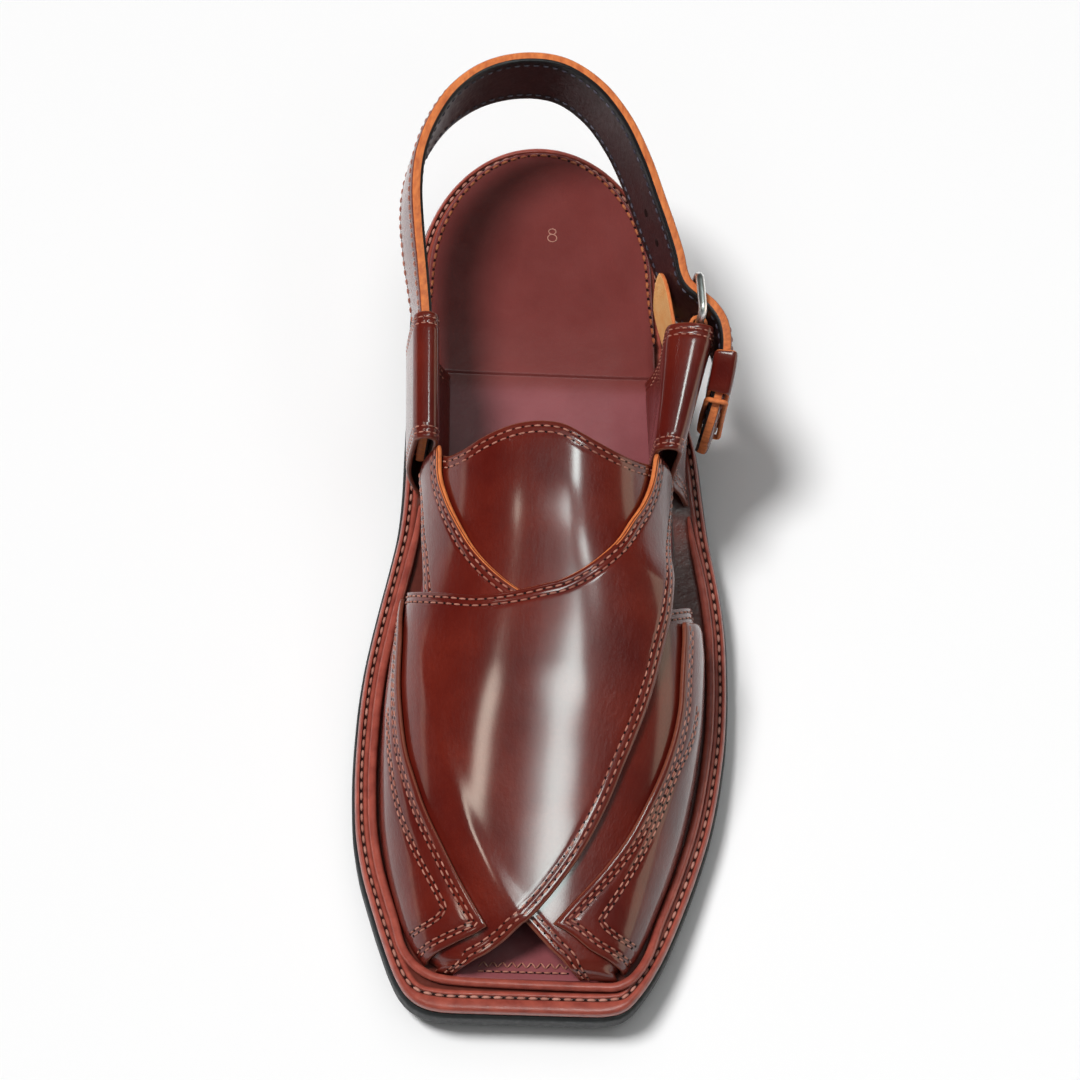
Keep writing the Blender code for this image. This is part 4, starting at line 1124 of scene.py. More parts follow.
@finish("flesh leather")
def flesh_leather(name):
    """Tan flesh side with a short nap; its tones are raised near white, painted light for the upright flap in
    the strap's shadow.
    """
    m = Shader(name)
    mottling = m.spread(m.noise(220.0, 5.0), 0.3, 0.7, 0.0, 1.0)
    # Painted light: both tones are lighter than the tan leather itself, to brighten the flap where it stands
    # upright in the strap's shade.
    m.colour(m.blend(mottling, (0.93, 0.42, 0.14), (0.97, 0.56, 0.24)))
    m.bump((m.noise(1500.0, 4.0), 0.00022))
    m.fixed(Roughness=0.92, Specular_IOR_Level=0.2)
    return m.material


@finish("bright metal")
def bright_metal(name):
    """Plated buckle wire, polished, with the small waviness of plating."""
    m = Shader(name)
    m.rough(m.spread(m.noise(300.0), 0.3, 0.7, 0.34, 0.44))
    m.bump((m.noise(200.0, 2.0), 0.00008))
    m.fixed(Metallic=1.0, Base_Color=(0.96, 0.96, 0.95, 1.0))
    return m.material


def thread_finish(name, light, dark):
    """Waxed thread whose tint changes a little from stitch to stitch."""
    m = Shader(name)
    m.colour(m.blend(m.attribute("tint"), dark, light))
    m.rough(m.spread(m.noise(900.0), 0.3, 0.7, 0.45, 0.65))
    m.bump((m.noise(2600.0, 2.0), 0.0001))
    return m.material


@finish("thread")
def thread(name):
    return thread_finish(name, look().thread_light[:], look().thread_dark[:])


@finish("pale thread")
def pale_thread(name):
    return thread_finish(name, (0.55, 0.27, 0.21), (0.38, 0.155, 0.115))


@finish("gold thread")
def gold_thread(name):
    return thread_finish(name, (0.50, 0.16, 0.06), (0.30, 0.075, 0.03))


@finish("lining thread")
def lining_thread(name):
    return thread_finish(name, (0.11, 0.10, 0.13), (0.045, 0.038, 0.055))


@finish("needle hole")
def needle_hole_shade(name):
    """Painted shade of a needle hole: near black on a low dome where the pit would be."""
    m = Shader(name)
    m.colour(m.blend(m.noise(800.0), (0.010, 0.004, 0.004), (0.022, 0.006, 0.005)))
    m.fixed(Roughness=0.7, Specular_IOR_Level=0.2)
    return m.material


def stitch_inset(ring):
    """Distance of the welt's stitches from the sole's edge: wider across the toe and a little at the heel."""
    facing = ring_normals(ring)[:, 1]
    toe = np.clip(-facing, 0.0, 1.0) ** 2 * (ring[:, 1] > 200.0)
    heel = np.clip(facing, 0.0, 1.0) ** 2 * (ring[:, 1] < 80.0)
    return STITCH_INSET_SIDE + STITCH_INSET_TOE * toe + STITCH_INSET_HEEL * heel


def stacked_rings(rings, caps=14):
    """Closed body through rings of equal count, with both ends filled by a grid from side to side."""
    count = len(rings[0])
    half = count // 2
    points = [np.concatenate(rings)]
    faces = [ring_faces(len(rings), count)]
    total = len(rings) * count
    for start, turn in ((0, True), ((len(rings) - 1) * count, False)):
        ring = points[0][start:start + count]
        left = np.arange(1, half)
        right = count - left
        share = np.linspace(0.0, 1.0, caps + 1)[1:-1][None, :, None]
        fill = ring[left][:, None] * (1.0 - share) + ring[right][:, None] * share
        points.append(fill.reshape(-1, 3))
        middle = total + np.arange(fill.shape[0] * fill.shape[1]).reshape(fill.shape[:2])
        total += middle.size
        grid = np.concatenate([start + left[:, None], middle, start + right[:, None]], axis=1)
        quads = grid_faces(grid)
        faces.append(quads if turn else quads[:, ::-1])
        for row, tip in ((grid[0], start), (grid[-1], start + half)):
            tips = np.full(len(row) - 1, tip)
            fan = np.stack([row[:-1], row[1:], tips, tips], axis=-1)
            faces.append(fan if (tip == start) != turn else fan[:, [1, 0, 2, 3]])
    faces = [tuple(dict.fromkeys(face)) for face in np.concatenate(faces).tolist()]
    return np.concatenate(points), faces


def face_out(obj):
    """Turns a closed piece's faces outwards, by Blender's own recalculation."""
    work = bmesh.new()
    work.from_mesh(obj.data)
    bmesh.ops.recalc_face_normals(work, faces=work.faces)
    work.to_mesh(obj.data)
    work.free()


def make_rubber():
    """Outsole: the sole's outline as a ring, drawn in at its lower edge and stepped under the welt."""
    ring = sole_ring()
    inward = ring_normals(ring)
    rings = []
    for inset, height in SOLE_PROFILE:
        flat = ring + inset * inward
        rings.append(np.column_stack([flat, underside(flat[:, 1]) + height]))
    points, faces = stacked_rings(rings)
    face_out(made_piece("rubber_outsole", points, faces, ["black rubber"], replaces=("outsole",)))


def make_heel():
    """Heel block: the heel's arc closed by a straight breast, drawn in a little towards the floor."""
    stations = np.concatenate([heel_stations(0.0, 90.0, 50), np.linspace(55.5, HEEL_BREAST, 6)])
    inner, outer = sole_edges(stations)
    breast = np.column_stack([np.linspace(inner[-1, 0], outer[-1, 0], 24)[1:-1], np.full(22, HEEL_BREAST)])
    ring = even_ring(np.concatenate([inner, breast, outer[::-1]]), 240)
    inward = ring_normals(ring)
    points, faces = stacked_rings([np.column_stack([ring + inset * inward, np.full(len(ring), height)])
                                   for inset, height in HEEL_PROFILE])
    face_out(made_piece("rubber_heel", points, faces, ["black rubber"], replaces=("heel_block",)))


def make_welt():
    """Welt and midsole: a profile with a raised rim and a stitching groove carried round the sole's ring.

    The groove value is painted shade: 1 in the groove, less in the bed under the bead and on the hidden faces,
    else 0.
    """
    ring = sole_ring()
    inward = ring_normals(ring)
    inset = stitch_inset(ring)
    rings, groove = [], []
    for share, past, height in WELT_PROFILE:
        flat = ring + (WELT_EDGE + share * (inset - WELT_EDGE) + past)[:, None] * inward
        rings.append(np.column_stack([flat, welt_top(flat[:, 1]) + height]))
        groove.append(0.0 if share < 1.0 else 1.0 if height < GROOVE_BELOW else
                      BED_SHADE if past > BED_FROM else 0.0)
    points, faces = stacked_rings(rings)
    # Painted shade on the end caps as in the bed, and half of it on the hidden foot.
    value = np.full(len(points), BED_SHADE)
    value[:len(rings) * len(ring)] = np.repeat(groove, len(ring))
    value[:len(ring)] = FOOT_SHADE
    face_out(made_piece("welt_leather", points, faces, ["welt leather"], replaces=("midsole",),
                        values={"groove": value}))
    flat = ring + inset[:, None] * inward
    line = np.column_stack([flat, welt_top(flat[:, 1]) - 0.42])
    sew("welt_stitches", [flat_row(np.concatenate([line, line[:1]]), WELT_PITCH)], WELT_THREAD, "pale thread")


def bead_line():
    """The bead's centre: the sole's edge moved in, then round the two toe corners."""
    inner, outer = sole_edges(np.linspace(BEAD_START, TOE_START, 30))

    def moved(edge, sign):
        along = unit(np.gradient(edge, axis=0))
        return edge + BEAD_INSET * sign * np.column_stack([along[:, 1], -along[:, 0]])

    plan = np.concatenate([moved(inner, 1.0)[:-1], BEAD_CORNER_INNER, BEAD_CORNER_OUTER,
                           moved(outer, -1.0)[-2::-1]])
    plan = smooth_path(plan, BEAD_COUNT)
    return np.column_stack([plan, welt_top(plan[:, 1]) + GAP + BEAD_RADIUS - BEAD_DROP])


def make_bead():
    """Rolled bead: a round bar along its line, thinning at both ends into the waist as a square root."""
    point = np.arange(BEAD_COUNT)
    end = np.minimum(point, point[::-1]) / BEAD_THINS
    radius = BEAD_RADIUS * np.sqrt(np.clip(end + 0.12, 0.0, 1.0))
    points, faces = tube_mesh(bead_line(), radius, sides=16)
    made_piece("rolled_bead", points, faces, ["welt leather"], replaces=("rand_bead",),
               values={"groove": np.zeros(len(points))})


def insole_top(s, edge):
    """Height of the insole's face: board, heel sock with a soft step, a shallow dish and a rounded edge."""
    sock = HEEL_SOCK * ramp((SOCK_END - s) / SOCK_EDGE_SOFTNESS)
    dish = -DISH[0] * ramp(edge / DISH[1])
    rim = -INSOLE_RIM[0] * np.exp(-edge / INSOLE_RIM[1]) + INSOLE_ROLL[0] * bell(edge - INSOLE_ROLL[1], 1.0)
    return welt_top(s) + GAP + INSOLE + sock + dish + rim


def make_insole():
    """Insole: stations by shares across it, closer together near the sides, between its two edge lines."""
    stations = np.concatenate([heel_stations(4.0, 90.0, 44, INSOLE_INSET), np.linspace(56.0, 85.0, 16),
                               np.linspace(85.3, 87.2, 8), np.linspace(89.0, 279.2, 84), [279.35, 279.5]])
    front = ramp((stations - INSOLE_FRONT) / INSOLE_FRONT_FADE)
    inner_x, outer_x = ((x * (1.0 - front) + sign * INSOLE_FRONT_HALF * front)[:, None]
                        for x, sign in zip(side_lines(INSOLE_SIDES, INSOLE_INSET, stations), (-1.0, 1.0)))
    share = 0.5 - 0.5 * np.cos(np.linspace(0.0, np.pi, INSOLE_ACROSS))
    x = inner_x * (1.0 - share) + outer_x * share
    s = np.repeat(stations[:, None], INSOLE_ACROSS, axis=1)
    edge = np.minimum(np.minimum(x - inner_x, outer_x - x), s - stations[0])
    top = np.stack([x, s, insole_top(s, edge)], axis=-1)
    low = np.stack([x, s, welt_top(s) + 0.1], axis=-1)
    points, faces, _, distance = skin(top, low, bulge=0.35, edge=edge)
    fore = ramp((points[:, 1] - SOCK_END - 1.0) / 6.0)
    made_piece("insole_leather", points, faces, ["sock leather"], replaces=("insole",),
               values={"edge": distance, "fore": fore})


def make_seat_row():
    """Stitches round the heel sock: the sole's ring moved in, in order round the heel."""
    ring = sole_ring()
    seat = ring + (INSOLE_INSET + SEAT_ROW) * ring_normals(ring)
    seat = seat[seat[:, 1] < SEAT_END]
    seat = seat[np.argsort(np.arctan2(seat[:, 0], 40.0 - seat[:, 1]))]
    line = np.column_stack([seat, insole_top(seat[:, 1], SEAT_ROW) + 0.1])
    sew("seat_stitches", [flat_row(line, SEAT_PITCH)], SEAT_THREAD, "gold thread")


def make_size_numeral():
    """The plain size numeral pressed into the heel sock: two small loops of one line."""
    turn = np.linspace(0.0, 2.0 * np.pi, 33)[:-1]
    points, faces = [], []
    for offset, wide, tall in NUMERAL_LOOPS:
        s = NUMERAL_AT[1] + offset + tall * np.sin(turn)
        ring = np.column_stack([NUMERAL_AT[0] + wide * np.cos(turn), s, insole_top(s, 30.0) + 0.02])
        loop, quads = tube_mesh(ring, NUMERAL_LINE, sides=8, cyclic=True)
        faces += [[k + len(loop) * len(points) for k in quad] for quad in quads]
        points.append(loop)
    points = np.concatenate(points)
    made_piece("size_numeral", points, faces, ["pale thread"],
               values={"tint": np.full(len(points), 0.6)})


def on_insole(x, s):
    """Points just over the insole's face, inside the open toe."""
    return np.column_stack([x, s, insole_top(s, 3.0) + 0.12])


def make_toe_rows():
    """Inside the open toe: a straight stitch row and a zigzag one on the insole, just behind the bead."""
    station, half = TOE_ROW
    line = on_insole(np.linspace(-half, half, 60), np.full(60, station))
    sew("toe_stitches", [flat_row(line, TOE_PITCH)], TOE_THREAD)
    station, half, step, swing = ZIGZAG
    turns = np.arange(-half, half + 0.1, step)
    corner = on_insole(turns, station + swing * (-1.0) ** np.arange(len(turns)))
    points, faces, tint = copies(thread_template(*ZIGZAG_THREAD), 0.5 * (corner[1:] + corner[:-1]),
                                 np.diff(corner, axis=0), np.tile(UP, (len(corner) - 1, 1)))
    made_piece("toe_zigzag", points, faces, ["thread"], values={"tint": tint})


def double_row(curve, side, distances=(ROW_OUTER, ROW_INNER)):
    """The curve moved over the last by each of the distances."""
    return [shift(curve, distance, side) for distance in distances]


def sew_panel(name, groups, level, thickness, lean=0.0):
    """Double rows of a panel, the second of each pair nearly half a stitch further on.

    With a lean, the last group runs to the toe end and down its tuck.
    """
    pitch = look().stitch_pitch / MM
    rows = []
    for group in groups:
        down = lean if group is groups[-1] else 0.0
        for k, curve in enumerate(group):
            rows.append(row_on_last(curve, level, thickness, pitch, start=0.5 + PANEL_STAGGER * k,
                                    lean=down * (ROW_LEAN - ROW_LEAN_STEP * k)))
    sew(name + "_stitches", rows, PANEL_THREAD)


def make_tongue():
    """Tongue: wavy top edge with a double row, raw at its two ears, lined below."""
    top = runs((TONGUE_TOP, 110))
    rows = double_row(top, -1.0)
    leather_patch("tongue", top, runs((TONGUE_FOOT, 110)), 60, tongue_level, TONGUE_LEATHER, rows,
                  (RAW_EDGE, CUT_EDGE, RAW_EDGE, CUT_EDGE))
    sew_panel("tongue", [rows], tongue_level, TONGUE_LEATHER)


def crossed_panel(name, edges, hand, counts, across, level, rows_end, lean, lip, swell=None):
    """A crossed panel, ruled from its free edge to its top edge and feather, and sewn along both edges.

    edges are the free edge's rear and front, the top edge and the feather. counts are the points of the
    front and of the two stitch lines. hand is -1 for the under panel, 1 for the over one.
    """
    rear, front, top, feather = edges
    front_count, top_count, line_count = counts
    top_line = runs((top, top_count))
    top_line = top_line[-hand * top_line[:, 1] < ROW_LIMIT]
    free_line = runs((rear, 120), (front, line_count))
    groups = [double_row(top_line, hand), [to_toe(row, rows_end) for row in double_row(free_line, -hand)]]
    leather_patch(name, runs((rear, 90), (front, front_count)), runs((top, 90), (feather, front_count)), across,
                  level, LEATHER, groups[0] + groups[1], (RAW_EDGE, RAW_EDGE, CUT_EDGE, CUT_EDGE),
                  swell=swell, lean=lean, lip=lip, bulge=EDGE_BULGE)
    sew_panel(name, groups, level, LEATHER, lean)


def make_under_panel():
    """Lower of the crossed panels, from the inner sleeve to the outer toe."""
    crossed_panel("under_panel", (UNDER_FREE_REAR, UNDER_FREE_FRONT, UNDER_TOP, UNDER_FEATHER), -1.0,
                  (60, 200, 80), 70, under_level, UNDER_ROWS_END, UNDER_TUCK_LEAN, UNDER_LIP)


def telegraph(s, t):
    """Faint ridge where the hidden under panel's edge presses through: a bell along its free edge."""
    return (TELEGRAPH_HEIGHT * bell(t - under_free_edge(s), TELEGRAPH_WIDTH)
            * ramp((s - TELEGRAPH_FROM) / TELEGRAPH_FADE))


def make_over_panel():
    """Upper of the crossed panels, from the outer sleeve to the inner toe."""
    crossed_panel("over_panel", (OVER_FREE_REAR, OVER_FREE_FRONT, OVER_TOP, OVER_FEATHER), 1.0,
                  (70, 220, 90), 76, over_level, OVER_ROWS_END, OVER_TUCK_LEAN, OVER_LIP, telegraph)


def make_wings():
    """Side wings: each one layer with a V-shaped front, a double row inside its edge and a second V row."""
    for name, hand, level, edge, limb, feather, limb_feather, vee, vee_limb in (
            ("inner_wing", -1.0, inner_wing_level, INNER_WING, INNER_LIMB, INNER_WING_FEATHER,
             INNER_LIMB_FEATHER, INNER_VEE, INNER_VEE_LIMB),
            ("outer_wing", 1.0, outer_wing_level, OUTER_WING, OUTER_LIMB, OUTER_WING_FEATHER,
             OUTER_LIMB_FEATHER, OUTER_VEE, OUTER_VEE_LIMB)):
        pairs = [double_row(runs(line), hand, (WING_ROW_OUTER, WING_ROW_INNER))
                 for line in ((edge, 160), (limb, 70))]
        vees = [[line, shift(line, VEE_ROWS, hand)] for line in (runs((vee, 120)), runs((vee_limb, 50)))]
        groups = [[mitre(first, second) for first, second in zip(*pair)] for pair in (pairs, vees)]
        leather_patch(name, runs((edge, 110), (limb, 36)), runs((feather, 110), (limb_feather, 36)), 40, level,
                      WING_LEATHER, groups[0] + groups[1], (CUT_EDGE,) * 4)
        sew_panel(name, groups, level, WING_LEATHER)


def sleeve_surface(sections, lean, side, stations, around):
    """Inverted U over the strap at each station, as one smooth line from the welt to the insole."""
    columns = [smooth_column(sections, k, stations) for k in range(1, 7)]
    rows = []
    for centre, top, half, knee_half, foot_out, foot_in, s in zip(*columns, stations):
        floor = welt_top(s)
        knee = top - SLEEVE_KNEE
        knee_out, knee_in = centre + lean + side * knee_half, centre + lean - side * knee_half
        half_wall = 0.5 * SLEEVE_WALL
        outline = [(foot_out, floor + half_wall),
                   (0.5 * (foot_out + knee_out) + side * SLEEVE_SWELL, 0.5 * (floor + knee)),
                   (knee_out, knee)]
        outline += [(centre - side * half * np.cos(a), top - ARCH_RISE * (1.0 - np.sin(a)) - half_wall)
                    for a in np.radians(np.linspace(180.0, 0.0, 9))]
        outline += [(knee_in, knee), (0.5 * (foot_in + knee_in), 0.5 * (floor + knee)),
                    (foot_in, floor + GAP + INSOLE + HEEL_SOCK + half_wall)]
        line = smooth_path(outline, around)
        rows.append(np.column_stack([line[:, 0], np.full(around, s), line[:, 1]]))
    return np.stack(rows)


def thick_sheet(name, grid, thickness, core, rims=(CUT_EDGE,) * 4, closed=False, bulge=0.4, relief=0.0,
                lined_from=4, finishes=FACES):
    """A sheet of even thickness about a middle surface; its outer face turns away from the point core."""
    normals = grid_normals(grid, closed)
    r, c = grid.shape[0] // 2, grid.shape[1] // 2
    if np.dot(normals[r, c], grid[r, c] - np.array(core)) < 0.0:
        normals = -normals
    edge = border_distance(grid, closed)
    raised = relief - ROUNDING * np.exp(-edge / ROUNDING_WIDTH)
    outer = grid + normals * (0.5 * thickness + raised)[..., None]
    inner = grid - normals * 0.5 * thickness
    points, faces, finish_of, distance = skin(outer, inner, closed, bulge, rims, edge, lined_from)
    made_piece(name + "_leather", points, faces, finishes, replaces=(name,), finish_of_face=finish_of,
               values={"edge": distance})
    return outer, inner, normals


def make_sleeves():
    """Both sleeves, with two stitched rows round each end."""
    stations = np.concatenate([np.linspace(SLEEVE_REAR, 92.0, 12), np.linspace(92.8, 120.6, 30),
                               np.linspace(121.2, SLEEVE_FRONT, 12)])
    ends = (SLEEVE_REAR + SLEEVE_ROWS, SLEEVE_REAR + 2.0 * SLEEVE_ROWS,
            SLEEVE_FRONT - SLEEVE_ROWS, SLEEVE_FRONT - 2.1 * SLEEVE_ROWS)
    groove = -SLEEVE_GROOVE_DEPTH * sum(bell(stations - end, SLEEVE_GROOVE_WIDTH) for end in ends)
    rows = []
    for name, sections, lean, side, core in (
            ("inner_sleeve", INNER_SLEEVE, INNER_SLEEVE_LEAN, -1.0, INNER_SLEEVE_CORE),
            ("outer_sleeve", OUTER_SLEEVE, OUTER_SLEEVE_LEAN, 1.0, OUTER_SLEEVE_CORE)):
        grid = sleeve_surface(sections, lean, side, stations, 110)
        outer, _, normals = thick_sheet(name, grid, SLEEVE_WALL, core, relief=groove[:, None])
        for k, end in enumerate(ends):
            row = np.argmin(np.abs(stations - end))
            rows.append(Row(outer[row, 4:-4], normals[row, 4:-4], SLEEVE_PITCH,
                            start=0.5 + SLEEVE_STAGGER * (k % 2)))
    sew("sleeve_stitches", rows, SLEEVE_THREAD)


def band(path, levels):
    """Upright band: its upper edge is the path's x, s and z, its lower edge hangs below by shift and width."""
    down = np.linspace(0.0, 1.0, levels)[None, :]
    x, s, z, shifted, width = (path[:, k:k + 1] for k in range(5))
    return np.stack([x + shifted * down, s + 0.0 * down, z - width * down], axis=-1)


def bore(name, start, end, radius, depth):
    """Cuts a round hole through a piece: a bar of the given depth about the middle of a line is taken away."""
    start, end = np.array(start), np.array(end)
    reach = unit(end - start) * 0.5 * depth
    middle = 0.5 * (start + end)
    points, faces = tube_mesh(np.linspace(middle - reach, middle + reach, 4), radius, sides=20)
    mesh = bpy.data.meshes.new("bore")
    mesh.from_pydata(place(points).tolist(), [], faces)
    bar = linked("bore", mesh)
    face_out(bar)
    piece = bpy.data.objects[name]
    cut = piece.modifiers.new("bore", "BOOLEAN")
    cut.operation = "DIFFERENCE"
    cut.object = bar
    bored = bpy.data.meshes.new_from_object(piece.evaluated_get(bpy.context.evaluated_depsgraph_get()))
    piece.modifiers.clear()
    piece.data = bored
    bpy.data.objects.remove(bar)


def strap_path():
    """The strap's upper edge at even steps, with its sideways shift and width."""
    return smooth_path(HEEL_STRAP, STRAP_ALONG)


def make_heel_strap():
    """Heel strap: outer leather, dark lining and raw edges, stitched along both edges, with punched holes."""
    path = strap_path()
    crown = STRAP_CROWN * np.sin(np.pi * np.linspace(0.0, 1.0, STRAP_ACROSS))
    outer, inner, normals = thick_sheet("heel_strap", band(path, STRAP_ACROSS), STRAP_THICK,
                                        STRAP_CORE, (RAW_EDGE,) * 4, bulge=0.5, relief=crown, lined_from=3)
    bore("heel_strap_leather", *PRONG_PATH, PRONG_HOLE_RADIUS, PRONG_HOLE_DEPTH)
    outer_rows, inner_rows = [], []
    for share, left_out in ((STRAP_ROW / STRAP_WIDTH, 6), (1.0 - STRAP_ROW / STRAP_WIDTH, 14)):
        part, low = math.modf(share * (STRAP_ACROSS - 1))
        low = int(low)
        for face, sign, kept in ((outer, 1.0, outer_rows), (inner, -1.0, inner_rows)):
            line = (face[:, low] * (1.0 - part) + face[:, low + 1] * part)[:-left_out]
            kept.append(Row(line, sign * normals[:len(line), low], STRAP_PITCH))
    sew("strap_stitches", outer_rows, STRAP_THREAD)
    sew("strap_lining_stitches", inner_rows, LINING_THREAD, "lining thread")
    # Spare holes on both faces: low domes in the painted shade of a punched hole.
    at = [np.argmin(np.abs(path[:, 1] - station) + 100.0 * (path[:, 0] < 0.0)) for station in STRAP_HOLES]
    middle = STRAP_ACROSS // 2
    centres = np.concatenate([inner[at, middle], outer[at, middle]])
    facing = np.concatenate([-normals[at, middle], normals[at, middle]])
    ways = np.tile([0.0, 1.0, 0.0], (len(centres), 1))
    points, faces, _ = copies(hole_template(STRAP_HOLE_RADIUS), centres, ways, facing)
    made_piece("strap_holes", points, faces, ["needle hole"])


def rounded_loop(corners, radius, steps=7):
    """Closed loop through the corners, each replaced by a quarter turn of a round bend."""
    corners = np.array(corners, dtype=float)
    points = []
    for k, corner in enumerate(corners):
        back = unit(corners[k - 1] - corner)
        ahead = unit(corners[(k + 1) % len(corners)] - corner)
        for a in np.radians(np.linspace(0.0, 90.0, steps)):
            points.append(corner + radius * ((1.0 - np.sin(a)) * back + (1.0 - np.cos(a)) * ahead))
    return np.array(points)


def make_buckle():
    """Wire frame, and its prong as a slightly bowed bar that thins towards its tip."""
    loop = rounded_loop(FRAME_CORNERS, FRAME_CORNER_RADIUS)
    points, faces = tube_mesh(loop, WIRE, sides=16, cyclic=True)
    made_piece("buckle_wire", points, faces, ["bright metal"], replaces=("buckle_frame",))
    start, end = np.array(PRONG_PATH)
    share = np.linspace(0.0, 1.0, 24)
    line = start + (end - start) * share[:, None]
    line[:, 0] += PRONG_BOW * np.sin(np.pi * share)
    radius = PRONG_RADIUS * np.clip(1.35 - 0.9 * share ** 3, 0.3, 1.0)
    points, faces = tube_mesh(line, radius)
    made_piece("buckle_tongue", points, faces, ["bright metal"], replaces=("buckle_prong",))


def make_buckle_leathers():
    """The short strap bent round the buckle's front bar, and the flap behind it with its flesh side out."""
    x, s = smooth_path(HAIRPIN, 80).T
    top = HAIRPIN_TOP - HAIRPIN_SLOPE * (s - s.min())
    path = np.column_stack([x, s, top, np.full(80, HAIRPIN_LEAN), np.full(80, HAIRPIN_WIDTH)])
    thick_sheet("buckle_strap", band(path, 12), HAIRPIN_LEATHER, HAIRPIN_CORE,
                (RAW_EDGE,) * 4, bulge=0.3)
    thick_sheet("buckle_flap", band(smooth_path(FLAP, 60), 24), FLAP_LEATHER, FLAP_CORE,
                bulge=0.3, finishes=("flesh leather", "raw edge") * 2)


def strap_section(station, clearance):
    """Rounded rectangle round the strap's free end at a station, as an even closed line."""
    path = strap_path()
    free = path[path[:, 0] > STRAP_OUTSIDE]
    x, z, lean, width = (np.interp(station, free[:, 1], free[:, k]) for k in (0, 2, 3, 4))
    before, after = (np.interp(station + d, free[:, 1], free[:, 0]) for d in (-2.0, 2.0))
    along = unit(np.array([after - before, 4.0]))
    out = np.array([along[1], -along[0]])
    half_thick = 0.5 * STRAP_THICK + clearance
    half_width = 0.5 * width + KEEPER_SLANT * clearance
    flat = []
    for corner, start in (((1, 1), 0.0), ((-1, 1), 90.0), ((-1, -1), 180.0), ((1, -1), 270.0)):
        for turn in np.radians(start + np.linspace(0.0, 90.0, 7)):
            flat.append((corner[0] * (half_thick - KEEPER_CORNER) + KEEPER_CORNER * np.cos(turn),
                         corner[1] * (half_width - KEEPER_CORNER) + KEEPER_CORNER * np.sin(turn)))
    a, b = even_ring(np.array(flat), KEEPER_AROUND).T
    down = 0.5 - b / width
    return np.column_stack([x + lean * down + out[0] * a, station + out[1] * a, z - 0.5 * width + b])


def make_keeper():
    """Keeper loop and lace round the strap's free end."""
    stations = np.linspace(KEEPER_FROM, KEEPER_TO, 16)
    grid = np.stack([strap_section(s, KEEPER_CLEARANCE + 0.5 * KEEPER_WALL) for s in stations])
    thick_sheet("keeper", grid, KEEPER_WALL, grid.reshape(-1, 3).mean(axis=0),
                (RAW_EDGE,) * 4, closed=True, bulge=0.35)
    ring = strap_section(LACE_AT, KEEPER_CLEARANCE + LACE_RADIUS)
    ring[:, 1] += LACE_WAVE * np.sin(np.linspace(0.0, 4.0 * np.pi, KEEPER_AROUND, endpoint=False))
    points, faces = tube_mesh(ring, LACE_RADIUS, sides=10, cyclic=True)
    made_piece("lace_ring", points, faces, ["raw edge"], replaces=("keeper_lace",))


def tone(name, description, default):
    """A colour property, as red, green and blue from 0 to 1."""
    return FloatVectorProperty(name=name, description=description, default=default, size=3, subtype="COLOR",
                               min=0.0, max=1.0)


class ChappalLook(bpy.types.PropertyGroup):
    """Colours and stitch size that a user would change."""

    leather_light: tone("Leather, light", "Lighter tone of the glazed leather", (0.165, 0.017, 0.0085))
    leather_dark: tone("Leather, dark", "Darker tone of the glazed leather", (0.092, 0.0065, 0.004))
    leather_edge: tone("Leather at edges", "Tone along cut edges", (0.13, 0.02, 0.012))
    raw_light: tone("Raw edge, light", "Lighter tone of raw leather edges", (0.80, 0.25, 0.075))
    raw_dark: tone("Raw edge, dark", "Darker tone of raw leather edges", (0.52, 0.125, 0.04))
    welt_light: tone("Welt, light", "Lighter tone of welt and bead", (0.41, 0.090, 0.060))
    welt_dark: tone("Welt, dark", "Darker tone of welt and bead", (0.245, 0.045, 0.032))
    thread_light: tone("Thread, light", "Lighter tone of the upper's thread", (0.50, 0.215, 0.155))
    thread_dark: tone("Thread, dark", "Darker tone of the upper's thread", (0.33, 0.115, 0.078))
    stitch_pitch: FloatProperty(name="Stitch pitch", description="Distance from stitch to stitch on the upper",
                                default=0.0029, min=0.0015, max=0.006, unit="LENGTH")


class ChappalStage(bpy.types.PropertyGroup):
    """Floor, lights and camera."""

    floor_colour: tone("Floor", "Colour of the floor", (0.96, 0.96, 0.96))
    sky: FloatProperty(name="Room light", description="Strength of the pale room at the horizon",
                       default=0.7, min=0.0, max=4.0)
    key: FloatProperty(name="Key light", description="Strength of the sun from the upper left",
                       default=2.7, min=0.0, max=20.0)
    fill: FloatProperty(name="Fill light", description="Strength of the wide lamp overhead",
                        default=12.0, min=0.0, max=200.0, unit="POWER")
    strips: FloatProperty(name="Strip lights", description="Strength of the lamps that the leather mirrors",
                          default=5.0, min=0.0, max=100.0, unit="POWER")
    lens: FloatProperty(name="Lens", description="Focal length of the camera",
                        default=CAMERA_LENS * MM, min=0.02, max=0.3, unit="CAMERA")


def stage():
    return bpy.context.scene.chappal_stage


def lamp(name, at, target, size, power, colour=(1.0, 1.0, 1.0)):
    """A rectangular area lamp that faces a target; places in metres."""
    light = bpy.data.lights.new(name, "AREA")
    light.shape = "RECTANGLE"
    light.size, light.size_y = size
    light.energy = power
    light.color = colour
    lit = linked(name, light)
    lit.location = at
    lit.rotation_euler = (Vector(target) - Vector(at)).to_track_quat("-Z", "Y").to_euler()
    return lit


def make_floor():
    """Pale floor, a large square that the shoe stands on."""
    colour = stage().floor_colour[:]
    m = Shader("pale floor")
    m.colour(m.blend(m.noise(3.0), tuple(c * FLOOR_MOTTLE for c in colour), colour))
    m.fixed(Roughness=0.7)
    mesh = bpy.data.meshes.new("floor")
    corners = [(x * FLOOR_REACH, y * FLOOR_REACH, 0.0) for x, y in ((-1, -1), (1, -1), (1, 1), (-1, 1))]
    mesh.from_pydata(corners, [], [(0, 1, 2, 3)])
    mesh.materials.append(m.material)
    floor = bpy.data.objects.new("floor", mesh)
    bpy.context.scene.collection.objects.link(floor)


